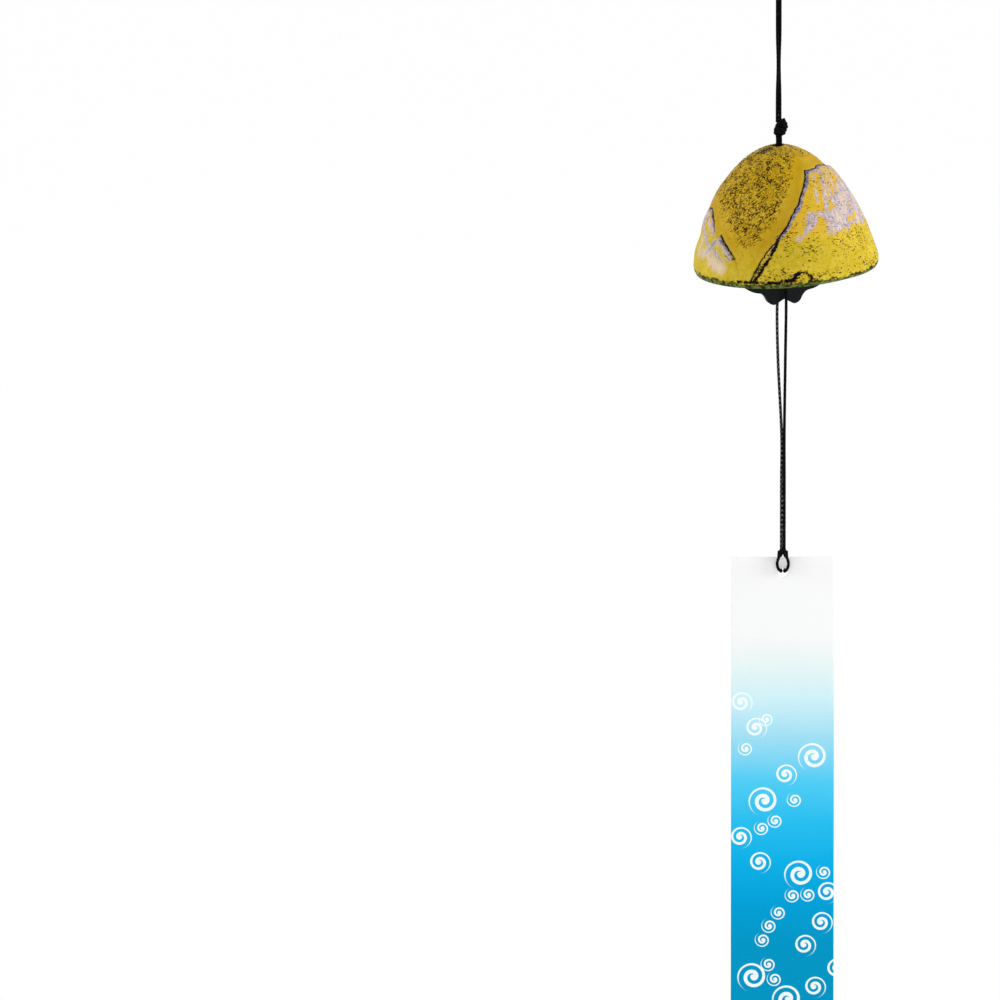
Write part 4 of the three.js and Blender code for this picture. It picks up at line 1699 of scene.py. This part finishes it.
    def _stroke_depth(self, strokes: Sequence[tuple[float, Sequence[Place]]], places: np.ndarray) -> np.ndarray:
        """How far places lie inside the nearest brush stroke, in millimetres.

        Args:
            strokes: Half widths, each with its stroke's points of azimuth and height.
            places: The places.

        Returns:
            The distance, negative outside.
        """
        best = np.full(len(places), -FAR)
        for half, points in strokes:
            line = self._on_dome([p[0] for p in points], [p[1] for p in points])
            for a, b in zip(line[:-1], line[1:]):
                ahead = b - a
                share = np.clip(((places - a) @ ahead) / (ahead @ ahead), 0, 1)
                best = np.maximum(best, half - np.linalg.norm(places - a - share[:, None] * ahead, axis=1))
        return best

    def _field_depth(self, azimuth: np.ndarray, z: np.ndarray, places: np.ndarray) -> np.ndarray:
        """How far places lie inside the outline of the big snow field, in millimetres.

        Args:
            azimuth: Their azimuths.
            z: Their heights.
            places: The places themselves.

        Returns:
            The distance, negative outside.
        """
        outline = np.array(self.snow_field)
        inside = np.zeros(len(z), bool)
        for (a0, h0), (a1, h1) in zip(outline, np.roll(outline, -1, axis=0)):
            crossing = (h0 > z) != (h1 > z)
            inside ^= crossing & (azimuth < a0 + (z - h0) / (h1 - h0 + 1e-12) * (a1 - a0))
        away = -self._stroke_depth([(0.0, [*self.snow_field, self.snow_field[0]])], places)
        return np.where(inside, away, -away)

    def _lines(self, places: np.ndarray, depths: Sequence[np.ndarray]) -> tuple[np.ndarray, np.ndarray, np.ndarray]:
        """The signed distance to the nearest ridge line, and that line's groove and pale band there.

        Args:
            places: Points on the bell.
            depths: How far they lie inside each mountain.

        Returns:
            Distance, groove strength and band strength.
        """
        rows = []
        for ridge in self._ridges():
            given = np.array(ridge.points, float)
            along = distances(self._on_dome(given[:, 0], given[:, 1]))
            dense = resample(given, along, max(2, int(along[-1] / self.line_step)))
            rows.append(np.column_stack([dense, np.full(len(dense), ridge.mountain)]))
        table = np.vstack(rows)
        spots = self._on_dome(table[:, 0], table[:, 1])
        tree = KDTree(len(spots))
        for index, spot in enumerate(spots):
            tree.insert(spot, index)
        tree.balance()
        found = [tree.find(p)[1:] for p in places]
        index, distance = np.array([f[0] for f in found]), np.array([f[1] for f in found])
        inside = np.choose(table[index, 4].astype(int), [d > 0 for d in depths])
        return np.where(inside, distance, -distance), table[index, 2], table[index, 3]

    def _measure(self, places: np.ndarray) -> Wall:
        """Measures how the plain bell's points lie to the ridges, the peaks and the cracks.

        Args:
            places: The points.

        Returns:
            The measured wall.
        """
        r, z = np.hypot(places[:, 0], places[:, 1]), places[:, 2]
        azimuth = np.degrees(np.arctan2(places[:, 1], places[:, 0]))
        gap = np.abs(r - self._dome(LAYOUT.bell_radius, LAYOUT.bell_height, z))
        outer = (gap < 0.02) & (z > self.band - 0.01) & (r > LAYOUT.crown_hole + self.lip - 0.01)
        peaks = (
            (self.big_ridge, self._mirrored(), self.big_summit),
            (self.near_left, self.near_right, self.near_left[:1]),
            (self.low_left, self.low_right, self.low_left[:1]),
        )
        depths = [self._depth(*peak, azimuth, z, r) for peak in peaks]
        inside = np.maximum.reduce(depths)
        ridge, groove, halo = np.full(len(r), -FAR), np.zeros(len(r)), np.zeros(len(r))
        ridge[outer], groove[outer], halo[outer] = self._lines(places[outer], [d[outer] for d in depths])
        crack = np.full(len(r), FAR)
        cracks = [(0.0, line) for line in (self.second_line, self.rock, self.foot)]
        crack[outer] = -self._stroke_depth(cracks, places[outer])
        sky = 1 - smooth(inside, -0.3, 0.3)
        rough = smooth(np.abs(ridge), 3.2, 7.0) * smooth(z, 11, 20) * sky
        return Wall(places, z, r, azimuth, gap, outer, depths, inside, ridge, groove, halo, crack, sky, rough)

    def _normals(self, wall: Wall) -> np.ndarray:
        """Works out which way the plain dome faces.

        Args:
            wall: The measured wall.

        Returns:
            A direction for each point.
        """
        axes = (
            (wall.r, LAYOUT.bell_radius, LAYOUT.radius_power), (wall.z, LAYOUT.bell_height, LAYOUT.height_power),
        )
        slope = np.stack([
            power / size * (np.clip(values, 0.01, None) / size) ** (power - 1) for values, size, power in axes
        ], axis=1)
        slope /= np.linalg.norm(slope, axis=1)[:, None]
        turn = np.radians(wall.azimuth)
        return np.stack([slope[:, 0] * np.cos(turn), slope[:, 0] * np.sin(turn), slope[:, 1]], axis=1)

    def _raise(self, wall: Wall) -> None:
        """Raises the peaks, cuts the grooves and roughens the sky.

        Args:
            wall: The measured wall, whose points are moved.
        """
        z, inside, low_peak = wall.z, wall.inside, wall.depths[2]
        (sand, sand_scale), (swell, swell_scale), (ripple, ripple_scale) = self.sand, self.swell, self.ripple
        aside, coarse = Vector((7.0, 3.0, 1.0)), np.zeros(len(z))
        for i in np.flatnonzero(wall.outer):
            spot = Vector(wall.places[i])
            coarse[i] = noise.noise(spot * sand_scale) * wall.rough[i] * sand
            coarse[i] += noise.noise(spot * swell_scale) * swell
            coarse[i] += noise.noise(spot * ripple_scale + aside) * ripple
        rise = smooth(inside, 0, self.relief_edge) * (1 - 0.7 * smooth(inside, 2, 13))
        valley = np.where((low_peak > -6) & (wall.depths[0] < 0), 1 - smooth(z, 8.5, 12.5), 0.0)
        rise = rise * (1 - valley * smooth(wall.azimuth, -133, -126))
        lift = self.relief * rise + self.low_step * smooth(low_peak, 0, 1.0) * (1 - smooth(low_peak, 1, 5))
        dip = self.dip_cut * wall.sky * hump(np.abs(wall.ridge), *self.dip) * smooth(z, 8, 15)
        lift = lift - self.groove_cut * wall.groove * hump(wall.ridge, 0, self.groove_width) - dip
        lift = lift - self.crack_cut * hump(wall.crack, 0, self.crack_width) + coarse
        lift = lift - self.near_sink * smooth(wall.depths[1], 0, 1.5) * smooth(z, 8, 16)
        lift = lift * smooth(z, self.band, self.band + 1.0) * smooth(wall.r, 2.7, 4.5)
        wall.places[wall.outer] += self._normals(wall)[wall.outer] * lift[wall.outer, None]

    def _snow(self, wall: Wall) -> np.ndarray:
        """Works out how deep in the snow each point lies, negative outside it.

        Args:
            wall: The raised wall.

        Returns:
            The distances, in millimetres.
        """
        outer = wall.outer
        places = wall.places[outer]
        field_depth = self._field_depth(wall.azimuth[outer], wall.z[outer], places)
        big = np.maximum(field_depth, self._stroke_depth(self.snow, places))
        big = np.minimum(big, -self._stroke_depth(self.gaps, places))
        small = np.where(self._left_peaks(wall), self._stroke_depth(self.snow_near, places), -FAR)
        return wall.spread(np.where(wall.depths[0][outer] > 0, big, small))

    def _left_peaks(self, wall: Wall) -> np.ndarray:
        """Which points of the outside lie on the two peaks at the left."""
        return np.maximum(wall.depths[1], wall.depths[2])[wall.outer] > 0

    def _speckle(self, wall: Wall) -> np.ndarray:
        """Works out how thickly the dry-brush marks lie.

        Args:
            wall: The raised wall.

        Returns:
            Their density at each point.
        """
        z, azimuth = wall.z, wall.azimuth
        smudge = wall.spread(self._stroke_depth(self.smudges, wall.places[wall.outer]))
        slope_marks = 0.54 + 0.26 * hump(z, 15.5, 4.5) + 0.3 * hump(z, 4, 2.2)
        slope_marks = np.where(wall.depths[0] > 0, slope_marks, 0.25)
        drift = 3.5 * smooth(wall.places[:, 1] / wall.r, 0, 0.5) * np.sin(np.radians(3 * azimuth) + 0.12 * z)
        sky_marks = 0.12 + 0.88 * smooth(np.abs(wall.ridge), 2.8, 7.0) * smooth(z + drift, 11, 21)
        sky_marks = sky_marks - 0.35 * smooth(z, 43, 47) * smooth(np.cos(np.radians(azimuth + 20)), 0.5, 0.9)
        return np.where(wall.inside > 0, slope_marks, sky_marks) + 0.5 * smooth(smudge, -1.2, 0.3)

    def _masks(self, wall: Wall) -> dict[str, np.ndarray]:
        """Works out what the paint reads.

        Args:
            wall: The raised wall.

        Returns:
            A value for each point, by the names that the paint asks for.
        """
        places, around = wall.places[wall.outer], (wall.azimuth + 360) % 360
        washes = np.where(self._left_peaks(wall), self._stroke_depth(self.washes, places), -FAR)
        return {
            "ridge": np.clip(wall.ridge, -FAR, FAR), "groove": wall.groove, "halo": wall.halo, "rough": wall.rough,
            "snow": self._snow(wall), "height": wall.z, "mountain": smooth(wall.inside, -0.1, 0.35),
            "speckle": self._speckle(wall), "crack": wall.crack, "wash": wall.spread(washes),
            # Where the paint darkens the sky as painted shade, in the dip beside each ridge
            "dip": wall.sky * hump(np.abs(wall.ridge), *self.dip),
            "above_rim": wall.z - self.rim_height - self.rim_left * hump(around, *self.rim_bulge),
        }

    def build(self, paint: bpy.types.Material, bare: bpy.types.Material) -> None:
        """Makes the bell: spins it, raises the relief, stores the masks and dresses it.

        Args:
            paint: The finish of its outside.
            bare: The finish of its inside.
        """
        piece = self._spun()
        wall = self._measure(points_of(piece))
        self._raise(wall)
        masks = self._masks(wall)
        bent = wall.gap < 1.0
        wall.places[bent] = self._lean(wall.places[bent])
        move_points(piece, wall.places)
        for name, values in masks.items():
            put_attribute(piece, name, values)

        centre = Matrix.Translation((0, 0, LAYOUT.pivot)) @ Matrix.Rotation(-LAYOUT.tilt, 4, "Y")
        settle(piece, centre, Matrix.Translation((0, 0, -LAYOUT.pivot_above_rim)))
        shade(piece)
        dress(piece, paint, "bell", ["bell"])
        piece.data.materials.append(bare)
        inner = (wall.z < self.band * 0.5) & (wall.r < LAYOUT.bell_radius - self.bevel - 0.5)
        inner |= wall.r < self._dome(LAYOUT.bell_radius, LAYOUT.bell_height, wall.z) - 1.2
        corner = np.array([p.vertices[0] for p in piece.data.polygons])
        piece.data.polygons.foreach_set("material_index", inner[corner].astype(np.int32))


# The clapper and the strip


@dataclass
class Clapper:
    """The flat iron plate with two wings and two lower lobes that strikes the bell."""

    top: float = 6.5
    span: float = 52.0
    tip_drop: float = 2.5
    lobe_spread: float = 4.5
    notch: float = 2.2
    wing_end: float = 5.0
    hole: float = 2.0
    points: int = 180
    rounding: float = 0.55
    trim: float = 0.45

    def _outline(self) -> np.ndarray:
        """Draws the plate's outline.

        Returns:
            Its points, from the top round by the right wing.
        """
        tip, drop = self.span / 2, LAYOUT.lobe_drop - self.trim
        right = [
            (0, self.top), (0.21 * tip, 0.86 * self.top), (0.39 * tip, 0.48 * self.top),
            (0.56 * tip, 0.36 * self.top), (0.77 * tip, 0.27 * self.top),
            (0.94 * tip, 0.38 * self.wing_end - self.tip_drop), (tip, -0.08 * self.wing_end - self.tip_drop),
            (0.93 * tip, -0.62 * self.wing_end - self.tip_drop), (0.75 * tip, -0.5 * drop),
            (0.52 * tip, -0.69 * drop), (0.37 * tip, -0.745 * drop),
            (self.lobe_spread + 3.5, -0.83 * drop), (self.lobe_spread + 2.1, -0.95 * drop),
            (self.lobe_spread, -drop), (0.49 * self.lobe_spread, 0.45 * self.notch - drop),
            (0, self.notch - drop),
        ]
        left = [(-x, z) for x, z in reversed(right[1:-1])]
        line = follow([(x, 0.0, z) for x, z in [*right, *left]], 0.05, closed=True)[:-1]
        return line[np.linspace(0, len(line), self.points, endpoint=False).astype(int)]

    def _plate(self) -> bpy.types.Object:
        """Bends a ring of points to the outline, and bridges it to the ring of the hole.

        Returns:
            The plate, still without thickness.
        """
        bpy.ops.mesh.primitive_circle_add(vertices=self.points, radius=1.0, rotation=(math.pi / 2, 0, 0))
        piece = take_new("clapper_plate")
        bpy.ops.object.transform_apply(rotation=True)
        ring, outline = points_of(piece), self._outline()
        angles = np.unwrap(np.arctan2(outline[:, 2], outline[:, 0]))
        places = np.zeros_like(ring)
        places[np.argsort(np.arctan2(ring[:, 2], ring[:, 0]))] = outline[np.argsort(np.angle(np.exp(1j * angles)))]
        move_points(piece, places)
        with edit_mode("DESELECT"):
            bpy.ops.mesh.primitive_circle_add(vertices=self.points, radius=self.hole, rotation=(math.pi / 2, 0, 0))
            bpy.ops.mesh.select_all(action="SELECT")
            bpy.ops.mesh.bridge_edge_loops(number_cuts=10, interpolation="LINEAR")
        return piece

    def build(self, material: bpy.types.Material) -> None:
        """Thickens the plate, rounds its edges, makes its faces a little uneven and dresses it.

        Args:
            material: Its finish.
        """
        piece = self._plate()
        modify(piece, "SOLIDIFY", thickness=LAYOUT.clapper_thickness, offset=0.0)
        edge = math.radians(50)
        modify(piece, "BEVEL", width=self.rounding, segments=4, limit_method="ANGLE", angle_limit=edge)
        with edit_mode():
            bpy.ops.mesh.normals_make_consistent(inside=False)
        places = points_of(piece)
        for i, spot in enumerate(places):
            sway = noise.noise(Vector(spot) * 0.22) * 0.12 + noise.noise(Vector(spot) * 0.9) * 0.035
            places[i][1] += sway if spot[1] > 0 else -sway
        move_points(piece, places)
        hole = Matrix.Translation((LAYOUT.clapper_offset, 0, LAYOUT.clapper_hole))
        settle(piece, hole @ Matrix.Rotation(LAYOUT.clapper_yaw, 4, "Z"))
        shade(piece, 40)
        dress(piece, material, "clapper", ["clapper"])


@dataclass
class Strip:
    """The paper strip with its punched hole."""

    width: float = 42.0
    length: float = 215.0
    cells: int = 48
    edge: float = 0.09
    wave: float = 0.35

    def build(self, material: bpy.types.Material) -> None:
        """Cuts the card from a plane, punches its hole, thickens it and eases its edges.

        Args:
            material: Its finish.
        """
        flat, card = (math.pi / 2, 0, 0), LAYOUT.card
        bpy.ops.mesh.primitive_plane_add(size=1.0, rotation=flat, location=(0, 0, -self.length / 2))
        piece = take_new("strip_card")
        piece.scale = (self.width, self.length, 1.0)
        bpy.ops.object.transform_apply(location=True, rotation=True, scale=True)
        with edit_mode():
            bpy.ops.mesh.subdivide(number_cuts=self.cells)
        modify(piece, "SOLIDIFY", thickness=card, offset=0.0)
        hole = {"radius": LAYOUT.strip_hole, "location": (0, 0, -LAYOUT.strip_hole_drop)}
        bpy.ops.mesh.primitive_cylinder_add(vertices=64, depth=4 * card, rotation=flat, **hole)
        punch = take_new("punch")
        modify(piece, "BOOLEAN", operation="DIFFERENCE", object=punch, solver="EXACT")
        bpy.data.objects.remove(punch)
        modify(piece, "BEVEL", width=self.edge, segments=2, limit_method="ANGLE", angle_limit=math.radians(60))
        places = points_of(piece)
        places[:, 1] += [noise.noise(Vector((x * 0.03, 0.0, z * 0.025))) * self.wave for x, _, z in places]
        move_points(piece, places)
        settle(piece, Matrix.Translation((LAYOUT.strip_offset, 0, LAYOUT.strip_top)))
        shade(piece, 35)
        dress(piece, material, "strip", ["paper_strip"])


# The studio


@dataclass
class Studio:
    """A white photographer's studio: camera, lamps, pale floor and air."""

    lens: float = 1600.0
    sensor: float = 36.0
    view_width: float = 0.4076
    elevation: float = math.radians(14.16)
    target: Place = (-0.1133, 0.0, -0.2272)
    floor_height: float = -0.53
    floor_size: float = 90.0
    floor_white: float = 0.975
    air_light: float = 0.73
    far_clip: float = 50.0
    lamps: Sequence[tuple[str, Place, float]] = (
        ("Left lamp", (-2.3, -0.45, 0.7), 24.0), ("Right lamp", (2.3, -0.35, 0.5), 44.0),
    )
    lamp_size: float = 1.2
    lamp_target: Place = (0, 0, -0.15)

    def _stand(self, name: str, data: bpy.types.ID, place: Vector, ahead: Vector) -> bpy.types.Object:
        """Stands a camera or a lamp in the studio.

        Args:
            name: Its name.
            data: Its settings.
            place: Where it stands, in metres.
            ahead: The way it looks.

        Returns:
            The object.
        """
        item = bpy.data.objects.new(name, data)
        item.location = place
        item.rotation_euler = ahead.to_track_quat("-Z", "Y").to_euler()
        bpy.context.scene.collection.objects.link(item)
        return item

    def camera(self) -> None:
        """Stands the camera at the photograph's angle and framing."""
        distance = self.view_width * self.lens / self.sensor
        data = bpy.data.cameras.new("Camera")
        data.lens, data.sensor_width, data.clip_end = self.lens, self.sensor, self.far_clip
        ahead = Vector((0.0, math.cos(self.elevation), -math.sin(self.elevation)))
        bpy.context.scene.camera = self._stand("Camera", data, Vector(self.target) - ahead * distance, ahead)

    def lamp(self, name: str, place: Place, power: float) -> None:
        """Hangs a soft square lamp that shines at the bell.

        Args:
            name: The lamp's name.
            place: Where it hangs, in metres.
            power: Its power in watts.
        """
        data = bpy.data.lights.new(name, "AREA")
        data.size, data.energy = self.lamp_size, power
        self._stand(name, data, Vector(place), Vector(self.lamp_target) - Vector(place))

    def _seen(self, sheet: NodeSheet, *rays: str) -> Signal:
        """Asks whether a surface is met by certain kinds of ray.

        Args:
            sheet: The surface's nodes.
            *rays: Blender's names of the kinds.

        Returns:
            1 where it is, 0 where it isn't.
        """
        path = sheet.node("LightPath").outputs
        seen = Signal(sheet, path[f"Is {rays[0]} Ray"])
        for ray in rays[1:]:
            seen = sheet.math("MAXIMUM", seen, path[f"Is {ray} Ray"])
        return seen

    def air(self) -> None:
        """Fills the studio with even white light, and shows white to the camera."""
        world = bpy.data.worlds.new("Studio air")
        world.use_nodes = True
        world.node_tree.nodes.clear()
        sheet = NodeSheet(world.node_tree)
        light = sheet.node("Background", {"Color": WHITE, "Strength": self.air_light})
        white = sheet.node("Background", {"Color": WHITE})
        seen = self._seen(sheet, "Camera", "Transmission", "Glossy")
        mixed = sheet.node("MixShader", {0: seen, 1: light.outputs[0], 2: white.outputs[0]})
        sheet.node("OutputWorld", {"Surface": mixed.outputs[0]})
        bpy.context.scene.world = world

    def floor(self) -> None:
        """Lays the pale floor, which the camera sees as white and which isn't there from below."""
        bpy.ops.mesh.primitive_plane_add(size=self.floor_size, location=(0, 0, self.floor_height))
        floor = take_new("studio_floor")
        made = Finish("Pale floor")
        made.set(Base_Color=made.mix(made.cloud(6.0, 2.0, 0.5), "f2f2f2", "f7f7f7"), Roughness=0.9)
        glow = made.node("Emission", {"Color": WHITE})
        shown = self._seen(made, "Camera", "Glossy") * self.floor_white
        lit = made.node("MixShader", {0: shown, 1: made.shader.outputs[0], 2: glow.outputs[0]})
        below, clear = made.node("NewGeometry").outputs["Backfacing"], made.node("BsdfTransparent")
        whole = made.node("MixShader", {0: below, 1: lit.outputs[0], 2: clear.outputs[0]})
        made.feed(made.output.inputs["Surface"], whole.outputs[0])
        floor.data.materials.append(made.material)

    def build(self) -> None:
        """Sets up everything but the object."""
        self.camera()
        for name, place, power in self.lamps:
            self.lamp(name, place, power)
        self.air()
        self.floor()
        bpy.context.scene.view_settings.view_transform = "Standard"


def main() -> None:
    """Builds the studio and dresses each part of the wind bell."""
    logging.basicConfig(level=logging.INFO, format="%(name)s: %(message)s")
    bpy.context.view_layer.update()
    Studio().build()
    # Both cord finishes paint glints on the crossings as highlights; the back strand's are brighter, as more light
    # falls on it
    cord = WaxedCord("Waxed cord", "121214", 0.5).material()
    UpperCord().build(cord)
    LowerCord().build(cord, WaxedCord("Waxed cord, bright painted glints", "747c76", 0.75).material())
    Bell().build(BellPaint().material(), Iron("Bare iron", "241f1c", "453d31", 0.6, 700.0).material())
    # The clapper's iron is its own near black, made darker still as painted shade of the bell that hangs over it
    Clapper().build(Iron("Clapper iron, darkened as painted shade", "06080c", "181b21", 0.45, 900.0).material())
    Strip().build(PrintedCard().material())


if __name__ == "__main__":
    main()
